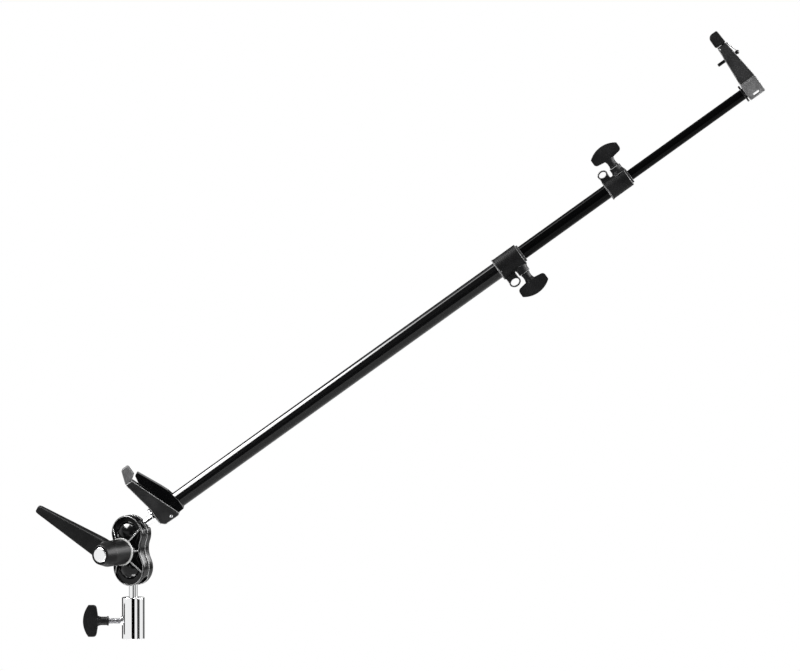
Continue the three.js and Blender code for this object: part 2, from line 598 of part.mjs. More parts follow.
// Double ball head and its clamp lever
function addHead() {
  const leaning = frameIn(root, 0, 0, LOWER_BALL_LEVEL);
  leaning.rotation.y = -HEAD_LEAN;
  const head = frameIn(leaning);
  head.rotation.z = -HEAD_TURN;
  head.updateWorldMatrix(true, false);
  const inHead = (vector) => vector.applyQuaternion(head.getWorldQuaternion(new THREE.Quaternion()).invert());
  const armWay = inHead(new THREE.Vector3(Math.cos(ARM_RISE), 0, Math.sin(ARM_RISE)));
  const postWay = inHead(new THREE.Vector3(0, 0, -1));
  const slots = [
    tiltSlot(postWay, LOWER_TILT_HALF_RANGE, LOWER_TILT_HALF_RANGE),
    tiltSlot(armWay, UPPER_TILT_DOWN, UPPER_TILT_UP).translate(0, 0, BALL_SPACING),
  ];
  const toFront = (geometry) => geometry.rotateX(Math.PI / 2).translate(0, 0, HALF_SPACING);
  const toRear = (geometry) => geometry.rotateX(-Math.PI / 2).translate(0, 0, HALF_SPACING);

  const frontShell = halfShell(FRONT_BOSS_RADIUS, FRONT_BOSS_LEVEL);
  place(head, "head_shell_front", cut(toFront(frontShell), ...slots), GLOSS_BLACK);
  const hexFloor = REAR_BOSS_LEVEL - BOLT_HEAD_HEIGHT;
  const hexPocket = bar(BOLT_HEAD_RADIUS + 2 * GAP, hexFloor, REAR_BOSS_LEVEL + OVERRUN, 6);
  const rearShell = cut(halfShell(REAR_BOSS_RADIUS, REAR_BOSS_LEVEL), hexPocket);
  place(head, "head_shell_rear", cut(toRear(rearShell), ...slots), GLOSS_BLACK);

  const boltFoot = GAP - REAR_BOSS_LEVEL;
  const boltShoulder = boltFoot + BOLT_HEAD_HEIGHT - 2 * GAP;
  const boltEnd = FRONT_BOSS_LEVEL + BOLT_REACH;
  const bolt = join(
    bar(BOLT_HEAD_RADIUS, boltFoot, boltShoulder, 6),
    bar(BOLT_RADIUS, boltFoot, boltEnd, FACETS_SMALL, 0, SOCKET_EDGE),
  );
  place(head, "clamp_bolt", toFront(bolt), STEEL);
  const springHalf = SPLIT_LEVEL + SPRING_POCKET_DEPTH - GAP;
  const spring = coil("head_spring", SPRING_MEAN_RADIUS, SPRING_WIRE, -springHalf, springHalf, SPRING_TURNS);
  place(head, "head_spring", toFront(spring), STEEL);

  const washerFoot = FRONT_BOSS_LEVEL + GAP;
  const washerTop = washerFoot + WASHER_THICKNESS;
  const washer = sleeve(BOLT_RADIUS + GAP, WASHER_RADIUS, washerFoot, washerTop, FACETS_LARGE);
  place(head, "thrust_washer", toFront(washer), WHITE_NYLON);

  const hubFoot = washerTop + GAP;
  const hubEnd = hubFoot + HUB_LENGTH;
  const core = INSERT_RADIUS + GAP;
  const recess = hubEnd - CAP_THICKNESS;
  const hub = turned(
    [
      [core, hubFoot],
      [HUB_RADIUS - HUB_EDGE, hubFoot],
      [HUB_RADIUS, hubFoot + HUB_EDGE],
      [HUB_RADIUS, hubFoot + HUB_STRAIGHT],
      [HUB_END_RADIUS + HUB_EDGE, hubEnd - HUB_EDGE],
      [HUB_END_RADIUS, hubEnd],
      [CAP_RADIUS + GAP, hubEnd],
      [CAP_RADIUS + GAP, recess],
      [core, recess],
      [core, hubFoot],
    ],
    FACETS_LARGE,
  );
  const blade = loft([
    section(0, LEVER_ROOT_WIDTH, LEVER_ROOT_THICKNESS, LEVER_ROOT_THICKNESS / 4),
    section(HUB_RADIUS, LEVER_ROOT_WIDTH, LEVER_ROOT_THICKNESS, LEVER_ROOT_THICKNESS / 4),
    section(LEVER_LENGTH - HUB_EDGE, LEVER_TIP_WIDTH, LEVER_TIP_THICKNESS, LEVER_TIP_THICKNESS / 4),
    section(LEVER_LENGTH, LEVER_TIP_WIDTH - HUB_EDGE, LEVER_TIP_THICKNESS - HUB_EDGE, HUB_EDGE),
  ]);
  blade.rotateY(-LEVER_CANT).rotateZ(LEVER_ANGLE).translate(0, 0, hubFoot + LEVER_LEVEL);
  const cored = cut(blade, bar(HUB_RADIUS - HUB_EDGE, hubFoot, hubEnd + LEVER_ROOT_WIDTH, FACETS_LARGE));
  place(head, "clamp_lever", toFront(join(hub, cored)), SATIN_BLACK);

  const insertFoot = hubFoot + HUB_EDGE;
  const insertTop = insertFoot + INSERT_LENGTH;
  const insert = sleeve(BOLT_RADIUS + GAP, INSERT_RADIUS, insertFoot, insertTop, FACETS_SMALL);
  place(head, "lever_insert", toFront(insert), BRASS);
  const capFoot = recess + GAP;
  const cap = turned(
    [
      [0, capFoot - CAP_PLUG_LENGTH],
      [INSERT_RADIUS, capFoot - CAP_PLUG_LENGTH],
      [INSERT_RADIUS, capFoot],
      [CAP_RADIUS, capFoot],
      [CAP_RADIUS, hubEnd],
      [CAP_RADIUS - CAP_CROWN, hubEnd + CAP_CROWN],
      [0, hubEnd + CAP_CROWN + GAP],
    ],
    FACETS,
  );
  place(head, "lever_cap", toFront(cap), CHROME);
}

// What lies across the arm at a station and height, such as a pin or a spring
const across = (geometry, station, height) => alongY(geometry).translate(station, 0, height);

// Lower clip: a two-cheek bracket on the ball's post, a tip pad and a sprung channel jaw
function addLowerClip(arm) {
  const flangeEnd = FLANGE_STATION + FLANGE_THICKNESS;
  const back = flangeEnd + GAP;
  const ballFloor = BALL_RADIUS * BALL_BORE_SHARE - GAP;
  const post = join(
    bar(STEM_RADIUS, -ballFloor, flangeEnd, FACETS_SMALL),
    bar(FLANGE_DIAMETER / 2, FLANGE_STATION, flangeEnd, FACETS, COLLAR_EDGE, COLLAR_EDGE),
    bar(STEM_SPIGOT_DIAMETER / 2, FLANGE_STATION, flangeEnd + STEM_SPIGOT_LENGTH, FACETS_SMALL),
  );
  place(arm, "upper_stem", alongX(post), CHROME);

  const frontSlope = (CLIP_FRONT_STATION - CLIP_TOP_FRONT) / (CLIP_BOTTOM + CLIP_TOP_HEIGHT);
  const frontAt = (height) => CLIP_FRONT_STATION - frontSlope * (height + CLIP_BOTTOM);
  const backAt = (height) =>
    back + ((CLIP_TOP_BACK - back) * (height - CLIP_SEAT_HEIGHT)) / (CLIP_TOP_HEIGHT - CLIP_SEAT_HEIGHT);
  const sideView = [
    [back, -CLIP_HEEL],
    [back + CLIP_WEB, -CLIP_BOTTOM + GAP],
    [CLIP_FRONT_STATION, -CLIP_BOTTOM],
    [CLIP_TOP_FRONT, CLIP_TOP_HEIGHT],
    [CLIP_TOP_BACK, CLIP_TOP_HEIGHT],
    [back, CLIP_SEAT_HEIGHT],
  ];
  const blockFront = back + STEM_SPIGOT_LENGTH;
  const ceiling = CLIP_TOP_HEIGHT - CLIP_TOP_BLOCK;
  const plugRadius = LOWER_TUBE_DIAMETER / 2 - TUBE_WALL - GAP;
  const blockTop = LOWER_TUBE_DIAMETER / 2;
  const inside = [
    [blockFront, -CLIP_BOTTOM - OVERRUN],
    [CLIP_FRONT_STATION + OVERRUN, -CLIP_BOTTOM - OVERRUN],
    [CLIP_FRONT_STATION + OVERRUN, blockTop],
    [frontAt(ceiling) + OVERRUN, ceiling],
    [backAt(ceiling) + CLIP_WEB, ceiling],
    [backAt(blockTop) + CLIP_WEB, blockTop],
    [blockFront, blockTop],
  ];
  const bracket = cut(slab(sideView, LOWER_CLIP_WIDTH), slab(inside, LOWER_CLIP_WIDTH - 2 * CHEEK));
  const plugEnd = LOWER_TUBE_START + PLUG_REACH;
  const plug = alongX(bar(plugRadius, blockFront - CLIP_WEB, plugEnd, FACETS, 0, COLLAR_EDGE));
  const springClear = CLIP_SPRING_WIRE + HINGE_DIAMETER / 2 + 3 * GAP;
  const springRoom = across(
    bar(springClear + GAP, -LOWER_CLIP_WIDTH / 2 + CHEEK, LOWER_CLIP_WIDTH / 2 - CHEEK, FACETS_SMALL),
    HINGE_STATION,
    -HINGE_DROP,
  );
  const spigotHole = alongX(
    bar(STEM_SPIGOT_DIAMETER / 2 + GAP, FLANGE_STATION, flangeEnd + STEM_SPIGOT_LENGTH + GAP, FACETS_SMALL),
  );
  const pinHole = () => {
    const hole = bar(HINGE_DIAMETER / 2 + GAP, -LOWER_CLIP_WIDTH, LOWER_CLIP_WIDTH, FACETS_SMALL);
    return across(hole, HINGE_STATION, -HINGE_DROP);
  };
  const body = cut(join(bracket, cut(plug, springRoom)), spigotHole, pinHole());
  place(arm, "lower_clip_body", body, DARK_GREY);

  const tipFoot = CLIP_TOP_HEIGHT + GAP;
  const tip = new THREE.Shape();
  tip.moveTo(CLIP_TOP_BACK, tipFoot);
  tip.lineTo(CLIP_TOP_FRONT, tipFoot);
  tip.lineTo(CLIP_TOP_FRONT + TIP_BULGE, tipFoot + TIP_HEIGHT / 4);
  tip.lineTo(CLIP_TOP_FRONT + TIP_BULGE, tipFoot + TIP_HEIGHT - HUB_EDGE);
  tip.lineTo(CLIP_TOP_FRONT + TIP_BULGE - HUB_EDGE, tipFoot + TIP_HEIGHT);
  tip.lineTo(CLIP_TOP_FRONT + TIP_BULGE - TIP_LENGTH, tipFoot + TIP_HEIGHT);
  place(arm, "lower_clip_tip", slab(tip, LOWER_CLIP_WIDTH - 2 * CHEEK, COLLAR_EDGE), CAST_GREY);

  const pinHalf = LOWER_CLIP_WIDTH / 2 + GAP;
  const pin = across(bar(HINGE_DIAMETER / 2, -pinHalf, pinHalf, FACETS_SMALL), HINGE_STATION, -HINGE_DROP);
  place(arm, "lower_clip_pin", pin, STEEL);
  const springHalf = LOWER_TUBE_DIAMETER / 2 - 2 * GAP;
  const wound = coil(
    "lower_clip_spring", springClear - CLIP_SPRING_WIRE / 2, CLIP_SPRING_WIRE, -springHalf, springHalf,
    CLIP_SPRING_TURNS,
  );
  place(arm, "lower_clip_spring", across(wound, HINGE_STATION, -HINGE_DROP), STEEL);

  const cheekGap = CHEEK + 2 * GAP;
  const jawWidth = LOWER_CLIP_WIDTH - 2 * cheekGap;
  const tipFront = CLIP_TOP_FRONT + TIP_BULGE + GAP;
  const eyeRadius = HINGE_DIAMETER;
  const jawTop = CLIP_TOP_HEIGHT + JAW_TOP_RISE;
  const heelBack = HINGE_STATION - eyeRadius;
  const jawView = [
    [heelBack, -HINGE_DROP - eyeRadius],
    [JAW_LIP_STATION, -JAW_LIP_DROP],
    [JAW_LIP_STATION, 0],
    [JAW_SHOULDER_STATION + JAW_SHEET * 2, JAW_WEB_START],
    [JAW_SHOULDER_STATION, JAW_SHOULDER_HEIGHT],
    [JAW_TOP_STATION, jawTop],
    [tipFront, jawTop - JAW_SHEET],
    [frontAt(ceiling) + JAW_SHEET, ceiling],
    [frontAt(JAW_WEB_START), JAW_WEB_START],
    [heelBack, 0],
  ];
  const webBack = (station) => station - JAW_SHEET;
  const channel = [
    [heelBack - OVERRUN, -CLIP_BOTTOM - OVERRUN],
    [JAW_LIP_STATION + OVERRUN, -CLIP_BOTTOM - OVERRUN],
    [JAW_LIP_STATION + OVERRUN, JAW_WEB_START - JAW_SHEET],
    [webBack(JAW_SHOULDER_STATION + JAW_SHEET * 2), JAW_WEB_START],
    [webBack(JAW_SHOULDER_STATION), JAW_SHOULDER_HEIGHT - GAP],
    [webBack(JAW_TOP_STATION), jawTop - 2 * JAW_SHEET],
    [CLIP_TOP_BACK, jawTop - 2 * JAW_SHEET],
  ];
  const jaw = cut(slab(jawView, jawWidth), slab(channel, jawWidth - 2 * JAW_SHEET), pinHole());
  place(arm, "lower_clip_jaw", jaw, GLOSS_BLACK);
}

// One telescopic joint: collar, bush, brake pad, stud and T-handle. The knob points along +Z or -Z
function addCollar(arm, prefix, sizes) {
  const { start, length, diameter, outerTube, tubeEnd, innerTube, knobStation, side, hole } = sizes;
  const end = start + length;
  const outer = diameter / 2;
  const socket = outerTube / 2 + GAP;
  const boss = knobStation;
  const flangeFoot = end + GAP;
  const bossTop = outer + COLLAR_BOSS_RISE;
  const upright = frameIn(arm);
  if (side < 0) upright.rotation.x = Math.PI;

  const ring = alongX(sleeve(socket, outer, start, end, FACETS, COLLAR_EDGE));
  const lip = alongX(sleeve(socket, outer + COLLAR_LIP / 2, start, start + COLLAR_LIP, FACETS));
  const bossBody = bar(COLLAR_BOSS_RADIUS, socket + COLLAR_EDGE, bossTop, FACETS_SMALL, 0, COLLAR_EDGE)
    .translate(boss, 0, 0);
  const bodyHole = alongX(bar(socket, start - OVERRUN, end + OVERRUN, FACETS));
  const studHole = bar(STUD_RADIUS + GAP, 0, bossTop + OVERRUN, FACETS_SMALL).translate(boss, 0, 0);
  const ellipse = (grow) => {
    const shape = new THREE.Shape();
    shape.absellipse(0, 0, hole.length / 2 + grow, hole.height / 2 + grow, 0, 2 * Math.PI, false, 0);
    return cleanShape(shape, FACETS_SMALL);
  };
  const eyelet = slab(ellipse(EYELET_WALL), EYELET_THICKNESS).translate(hole.station, 0, hole.rise);
  const neck = box(
    hole.station - hole.length / 3, hole.station + hole.length / 3,
    -EYELET_THICKNESS / 2, EYELET_THICKNESS / 2,
    socket + COLLAR_EDGE, hole.rise,
  );
  const eyeCut = slab(ellipse(0), 2 * EYELET_THICKNESS).translate(hole.station, 0, hole.rise);
  const collar = cut(join(ring, lip, bossBody, eyelet, neck), bodyHole, studHole, eyeCut);
  place(upright, prefix + "_collar", collar, SATIN_BLACK);

  const bushInner = innerTube / 2 + GAP;
  const bushOuter = bushInner + BUSH_WALL;
  const bush = alongX(
    turned(
      [
        [bushInner, tubeEnd + GAP],
        [bushOuter, tubeEnd + GAP],
        [bushOuter, flangeFoot],
        [socket + COLLAR_EDGE, flangeFoot],
        [socket + COLLAR_EDGE, flangeFoot + BUSH_FLANGE],
        [bushInner, flangeFoot + BUSH_FLANGE],
        [bushInner, tubeEnd + GAP],
      ],
      FACETS,
    ),
  );
  place(arm, prefix + "_bush", bush, SATIN_BLACK);

  const padFoot = bushOuter + GAP;
  const padTop = padFoot + PAD_THICKNESS;
  const pad = cut(
    bar(STUD_RADIUS, 0, padTop, FACETS_SMALL).translate(boss, 0, 0),
    alongX(bar(padFoot, start, end, FACETS)),
  );
  place(upright, prefix + "_brake_pad", pad, BRASS);
  const stemStart = bossTop + GAP;
  const knob = frameIn(upright, boss, 0, 0);
  place(knob, prefix + "_stud", studOf(padTop + GAP, stemStart), CHROME);
  place(knob, prefix + "_knob", tHandle(stemStart, stemStart + COLLAR_KNOB_STEM), SATIN_BLACK);
}

const tube = (diameter, start, end) =>
  alongX(sleeve(diameter / 2 - TUBE_WALL, diameter / 2, start, end, FACETS));

// Upper clip: a cast block on the tube, a tapered body, a tip pad, a sprung flap and a plunger with its leaf
function addUpperClip(arm) {
  const blockEnd = BLOCK_START + BLOCK_LENGTH;
  const middle = (BLOCK_START + blockEnd) / 2;
  const blockView = new THREE.Shape();
  blockView.moveTo(BLOCK_START, -BLOCK_DEPTH);
  blockView.lineTo(blockEnd, -BLOCK_DEPTH);
  blockView.lineTo(blockEnd, BLOCK_TOP);
  blockView.lineTo(BLOCK_START, BLOCK_TOP);
  blockView.quadraticCurveTo(BLOCK_START - BLOCK_FLANGE / 2, 0, BLOCK_START, -BLOCK_DEPTH);
  const slotHigh = -BLOCK_DEPTH + BLOCK_SLOT_WALL + BLOCK_SLOT_HEIGHT;
  const slotEnd = (grow) => {
    const shape = new THREE.Shape();
    const radius = BLOCK_SLOT_HEIGHT / 2 + grow;
    const reach = (BLOCK_SLOT_LENGTH - BLOCK_SLOT_HEIGHT) / 2;
    shape.absarc(reach, 0, radius, -Math.PI / 2, Math.PI / 2, false);
    shape.absarc(-reach, 0, radius, Math.PI / 2, (3 * Math.PI) / 2, false);
    return cleanShape(shape, ARC_STEPS);
  };
  const slotHeight = slotHigh - BLOCK_SLOT_HEIGHT / 2;
  const slot = slab(slotEnd(0), 2 * BLOCK_WIDTH).translate(middle, 0, slotHeight);
  const rim = slab(slotEnd(BLOCK_SLOT_WALL - GAP), BLOCK_WIDTH + 2 * GAP).translate(middle, 0, slotHeight);
  const seatEnd = BLOCK_START + BLOCK_SOCKET_DEPTH;
  const tubeSeat = alongX(bar(UPPER_TUBE_DIAMETER / 2 + GAP, BLOCK_START - OVERRUN, seatEnd, FACETS));
  const screwStart = BLOCK_TOP - BLOCK_SCREW_LENGTH / 2;
  const screwHole = bar(BLOCK_SCREW_DIAMETER / 2 + GAP, screwStart - GAP, BLOCK_TOP + OVERRUN, FACETS_SMALL)
    .translate(blockEnd - BLOCK_SCREW_DIAMETER, 0, 0);
  const block = cut(join(slab(blockView, BLOCK_WIDTH, GAP), rim), slot, tubeSeat, screwHole);
  place(arm, "end_block", block, CAST_GREY);
  const flangeEnd = BLOCK_START - BLOCK_FLANGE / 2 - GAP;
  const flangeStart = flangeEnd - BLOCK_FLANGE - GAP;
  const flangeBore = UPPER_TUBE_DIAMETER / 2 + GAP;
  const flange = sleeve(flangeBore, BLOCK_DEPTH, flangeStart, flangeEnd, FACETS, COLLAR_EDGE);
  place(arm, "end_flange", alongX(flange), SATIN_BLACK);

  const foot = BLOCK_TOP + GAP;
  const top = UPPER_CLIP_HEIGHT;
  const shareAt = (height) => (height - foot) / (top - foot);
  const backAt = (height) => BLOCK_START + UPPER_CLIP_BACK_SHIFT * shareAt(height);
  const frontAt = (height) => blockEnd - UPPER_CLIP_FRONT_SHIFT * shareAt(height);
  const flapFront = (height) => backAt(height) + FLAP_THICKNESS;
  const notchFloor = PLUNGER_HEIGHT - PLUNGER_DIAMETER;
  const sideView = [[backAt(foot), foot], [frontAt(foot), foot], [frontAt(top), top], [backAt(top), top]];
  const taper = slab(
    [
      [-UPPER_CLIP_WIDTH / 2, foot],
      [UPPER_CLIP_WIDTH / 2, foot],
      [UPPER_CLIP_TOP_WIDTH / 2, top],
      [-UPPER_CLIP_TOP_WIDTH / 2, top],
    ],
    4 * BLOCK_LENGTH,
  ).rotateZ(Math.PI / 2).translate(middle, 0, 0);
  const notchHalf = FLAP_WIDTH / 2 + GAP;
  const notch = box(
    BLOCK_START - OVERRUN, flapFront(top) + GAP, -notchHalf, notchHalf, notchFloor, top + OVERRUN,
  );
  const plungerBore = alongX(
    bar(PLUNGER_DIAMETER / 2 + GAP, BLOCK_START - OVERRUN, blockEnd + OVERRUN, FACETS_SMALL),
  ).translate(0, 0, PLUNGER_HEIGHT);
  const hingeHeight = top - FLAP_THICKNESS;
  const hingeStation = backAt(hingeHeight) + FLAP_THICKNESS / 2;
  const flapPinHole = () => {
    const hole = bar(FLAP_PIN_DIAMETER / 2 + GAP, -UPPER_CLIP_WIDTH, UPPER_CLIP_WIDTH, FACETS_SMALL);
    return across(hole, hingeStation, hingeHeight);
  };
  const screwTop = BLOCK_TOP + BLOCK_SCREW_LENGTH / 2;
  const lowScrewHole = bar(BLOCK_SCREW_DIAMETER / 2 + GAP, 0, screwTop + GAP, FACETS_SMALL)
    .translate(blockEnd - BLOCK_SCREW_DIAMETER, 0, 0);
  const tapered = common(slab(sideView, UPPER_CLIP_WIDTH, GAP), taper);
  const body = cut(tapered, notch, plungerBore, flapPinHole(), lowScrewHole);
  place(arm, "upper_clip_body", body, DARK_GREY);
  const screw = bar(BLOCK_SCREW_DIAMETER / 2, screwStart, screwTop, FACETS_SMALL);
  place(arm, "end_block_screw", screw.translate(blockEnd - BLOCK_SCREW_DIAMETER, 0, 0), STEEL);

  const capFoot = top + GROOVE;
  const capTop = capFoot + UPPER_TIP_HEIGHT;
  const capBack = backAt(top) - UPPER_TIP_OVERHANG;
  const capFront = frontAt(top) + GAP;
  const cap = new THREE.Shape();
  cap.moveTo(backAt(top), capFoot);
  cap.lineTo(capFront, capFoot);
  cap.lineTo(capFront - GROOVE, capTop);
  cap.lineTo(capBack + UPPER_TIP_HEIGHT / 2, capTop);
  cap.quadraticCurveTo(capBack, capTop, capBack, capTop - UPPER_TIP_HEIGHT / 3);
  cap.lineTo(capBack, capFoot + GROOVE);
  const tenonHalf = UPPER_CLIP_TOP_WIDTH / 4;
  const tenon = box(
    middle - GROOVE, capFront - 2 * GROOVE, -tenonHalf, tenonHalf, top + GAP, capTop - GROOVE,
  );
  place(arm, "upper_clip_tip", join(slab(cap, UPPER_CLIP_TOP_WIDTH, COLLAR_EDGE), tenon), SATIN_BLACK);

  const flapBottom = PLUNGER_HEIGHT + PLUNGER_DIAMETER / 2 + 4 * GAP;
  const flapView = [
    [backAt(flapBottom), flapBottom],
    [flapFront(flapBottom), flapBottom],
    [flapFront(flapBottom), hingeHeight + FLAP_THICKNESS / 2],
    [backAt(hingeHeight), hingeHeight + FLAP_THICKNESS / 2],
  ];
  place(arm, "upper_clip_flap", cut(slab(flapView, FLAP_WIDTH, GAP), flapPinHole()), GLOSS_BLACK);
  const pinHalf = UPPER_CLIP_TOP_WIDTH / 2;
  const pin = bar(FLAP_PIN_DIAMETER / 2, -pinHalf, pinHalf, FACETS_SMALL);
  place(arm, "upper_clip_pin", across(pin, hingeStation, hingeHeight), STEEL);

  const plungerFront = frontAt(PLUNGER_HEIGHT) + PLUNGER_TAIL;
  const ballRadius = PLUNGER_BALL_DIAMETER / 2;
  const knob = new THREE.SphereGeometry(ballRadius, FACETS_SMALL, ARC_STEPS).rotateX(Math.PI / 2);
  const plunger = join(
    bar(PLUNGER_DIAMETER / 2, backAt(PLUNGER_HEIGHT) - PLUNGER_REACH, plungerFront, FACETS_SMALL, GAP),
    knob.translate(0, 0, plungerFront),
  );
  place(arm, "upper_clip_plunger", alongX(plunger).translate(0, 0, PLUNGER_HEIGHT), SATIN_BLACK);

  const leafStart = frontAt(top) + GAP;
  const leafEnd = plungerFront - GAP;
  const leafTop = capFoot;
  const leafFoot = PLUNGER_HEIGHT + ballRadius + GAP;
  const leafView = [
    [frontAt(top - GROOVE) + GAP, top - GROOVE - LEAF_WIDTH / 2],
    [leafStart + LEAF_THICKNESS, top - GROOVE - LEAF_WIDTH / 2],
    [leafEnd, leafFoot],
    [leafEnd + LEAF_THICKNESS, leafFoot],
    [leafStart + LEAF_THICKNESS + GAP, leafTop - GROOVE - GAP],
    [leafStart, leafTop - GROOVE - GAP],
  ];
  place(arm, "leaf_spring", slab(leafView, LEAF_WIDTH), CHROME);
}

// The arm, along +X of its own group with heights along +Z
function addArm() {
  const arm = frameIn(root, ...UPPER_BALL.toArray());
  arm.rotation.y = -ARM_RISE;
  place(arm, "upper_ball", alongX(ball()).rotateZ(Math.PI), STEEL);
  addLowerClip(arm);
  place(arm, "lower_tube", tube(LOWER_TUBE_DIAMETER, LOWER_TUBE_START, LOWER_TUBE_END), TUBE_BLACK);
  const middleStart = MIDDLE_TUBE_END - MIDDLE_TUBE_LENGTH;
  const upperStart = UPPER_TUBE_END - UPPER_TUBE_LENGTH;
  place(arm, "middle_tube", tube(MIDDLE_TUBE_DIAMETER, middleStart, MIDDLE_TUBE_END), TUBE_BLACK);
  place(arm, "upper_tube", tube(UPPER_TUBE_DIAMETER, upperStart, UPPER_TUBE_END), TUBE_BLACK);
  addCollar(arm, "lower", {
    start: LOWER_COLLAR_START,
    length: LOWER_COLLAR_LENGTH,
    diameter: LOWER_COLLAR_DIAMETER,
    outerTube: LOWER_TUBE_DIAMETER,
    tubeEnd: LOWER_TUBE_END,
    innerTube: MIDDLE_TUBE_DIAMETER,
    knobStation: LOWER_KNOB_STATION,
    side: -1,
    hole: {
      station: LOWER_EYELET_STATION,
      rise: LOWER_EYELET_RISE,
      length: LOWER_EYELET_LENGTH,
      height: LOWER_EYELET_HEIGHT,
    },
  });
  addCollar(arm, "upper", {
    start: UPPER_COLLAR_START,
    length: UPPER_COLLAR_LENGTH,
    diameter: UPPER_COLLAR_DIAMETER,
    outerTube: MIDDLE_TUBE_DIAMETER,
    tubeEnd: MIDDLE_TUBE_END,
    innerTube: UPPER_TUBE_DIAMETER,
    knobStation: UPPER_KNOB_STATION,
    side: 1,
    hole: {
      station: UPPER_EYELET_STATION,
      rise: UPPER_EYELET_RISE,
      length: UPPER_EYELET_LENGTH,
      height: UPPER_EYELET_HEIGHT,
    },
  });
  addUpperClip(arm);
}

addSocket();
addHead();
addArm();

export default root;
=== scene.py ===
"""Finishes for a telescopic reflector holder arm, laid out as an add-on.

Every piece is made in metres, in the frame of its own sub-assembly, and settled in place by that
sub-assembly's matrix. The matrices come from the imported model's joints.
"""

import json
import math

import bmesh
import bpy
from bpy.props import FloatProperty, FloatVectorProperty, IntProperty, PointerProperty
from mathutils import Matrix, Vector


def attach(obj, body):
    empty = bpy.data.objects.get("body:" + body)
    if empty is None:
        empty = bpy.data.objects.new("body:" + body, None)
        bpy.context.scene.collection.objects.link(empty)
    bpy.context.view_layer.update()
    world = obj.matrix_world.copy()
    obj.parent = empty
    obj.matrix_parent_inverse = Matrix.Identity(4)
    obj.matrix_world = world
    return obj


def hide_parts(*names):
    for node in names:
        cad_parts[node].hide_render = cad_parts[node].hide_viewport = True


bl_info = {
    "name": "Reflector Holder Arm",
    "version": (1, 0, 0),
    "blender": (4, 5, 0),
    "location": "View3D > Sidebar > Reflector Arm",
    "description": "Makes the finished pieces of a telescopic reflector holder arm",
    "category": "Add Mesh",
}

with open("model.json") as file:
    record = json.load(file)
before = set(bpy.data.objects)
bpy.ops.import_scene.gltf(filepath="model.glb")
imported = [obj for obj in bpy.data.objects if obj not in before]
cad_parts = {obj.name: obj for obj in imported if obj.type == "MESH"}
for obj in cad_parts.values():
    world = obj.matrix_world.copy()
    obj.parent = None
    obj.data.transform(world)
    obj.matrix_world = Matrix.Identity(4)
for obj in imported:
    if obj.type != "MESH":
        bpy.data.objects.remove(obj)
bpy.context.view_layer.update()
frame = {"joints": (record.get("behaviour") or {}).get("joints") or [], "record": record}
JOINTS = {joint["name"]: joint for joint in frame["joints"]}

# Fits between pieces, how far a cutter runs past what it cuts, and facets of round pieces
GAP = 0.0003
OVERRUN = 0.004
FINE = 96
MEDIUM = 64
SMALL = 40
ARC_STEP = math.radians(12)
SHARP_ANGLE = math.radians(32)
CAP_SHARP_ANGLE = math.radians(50)
NEVER_SHARP = math.pi
BEVEL_SEGMENTS = 3
WELD = 1e-6


def joint_place(name):
    return Vector(JOINTS[name]["pos_m"])


def joint_axis(name):
    return Vector(JOINTS[name]["axis"]).normalized()


def frame_matrix(origin, along_x, along_z):
    """A matrix whose local X and Z point along the two directions given."""
    x, z = along_x.normalized(), along_z.normalized()
    y = z.cross(x)
    columns = Matrix((x, y, z)).transposed().to_4x4()
    return Matrix.Translation(origin) @ columns


# Sub-assembly frames: the arm runs along its X, the head's balls lie along Y and its bolt along Z
UPPER_BALL = joint_place("upper_ball_swivel")
LOWER_BALL = joint_place("lower_ball_swivel")
ARM_WAY = joint_axis("upper_ball_swivel")
ACROSS = Vector((0, 1, 0))
ARM = frame_matrix(UPPER_BALL, ARM_WAY, ARM_WAY.cross(ACROSS))
BOLT_WAY = joint_axis("lever_turn")
BALL_WAY = (UPPER_BALL - LOWER_BALL).normalized()
BALL_SPACING = (UPPER_BALL - LOWER_BALL).length
HEAD_MIDDLE = joint_place("lever_turn")
HEAD_FRONT = frame_matrix(HEAD_MIDDLE, BALL_WAY.cross(BOLT_WAY), BOLT_WAY)
HEAD_REAR = frame_matrix(HEAD_MIDDLE, BALL_WAY.cross(BOLT_WAY), -BOLT_WAY)
STAND = Matrix.Identity(4)
SOCKET_KNOB_LEVEL = joint_place("socket_handle_turn").z
SOCKET_HANDLE = frame_matrix(Vector((0, 0, SOCKET_KNOB_LEVEL)), Vector((0, 0, 1)), Vector((-1, 0, 0)))
# Turns of Object coordinates that bring their X along the arm and upright
ARM_TURN = (0.0, math.atan2(ARM_WAY.z, ARM_WAY.x), 0.0)
UPRIGHT_TURN = (0.0, math.pi / 2, 0.0)


def arm_station(point):
    """Distance of a point along the arm from the upper ball."""
    return (point - UPPER_BALL).dot(ARM_WAY)


LOWER_KNOB_STATION = arm_station(joint_place("lower_handle_turn"))
UPPER_KNOB_STATION = arm_station(joint_place("upper_handle_turn"))
LOWER_HANDLE = ARM @ Matrix.Translation((LOWER_KNOB_STATION, 0, 0)) @ Matrix.Rotation(math.pi, 4, "X")
UPPER_HANDLE = ARM @ Matrix.Translation((UPPER_KNOB_STATION, 0, 0))


def length(name, description, default):
    return FloatProperty(name=name, description=description, default=default, unit="LENGTH", precision=5)


def brightness(name, description, default):
    return FloatProperty(name=name, description=description, default=default, min=0)


def colour(name, description, default):
    return FloatVectorProperty(name=name, description=description, default=default, subtype="COLOR", size=3)


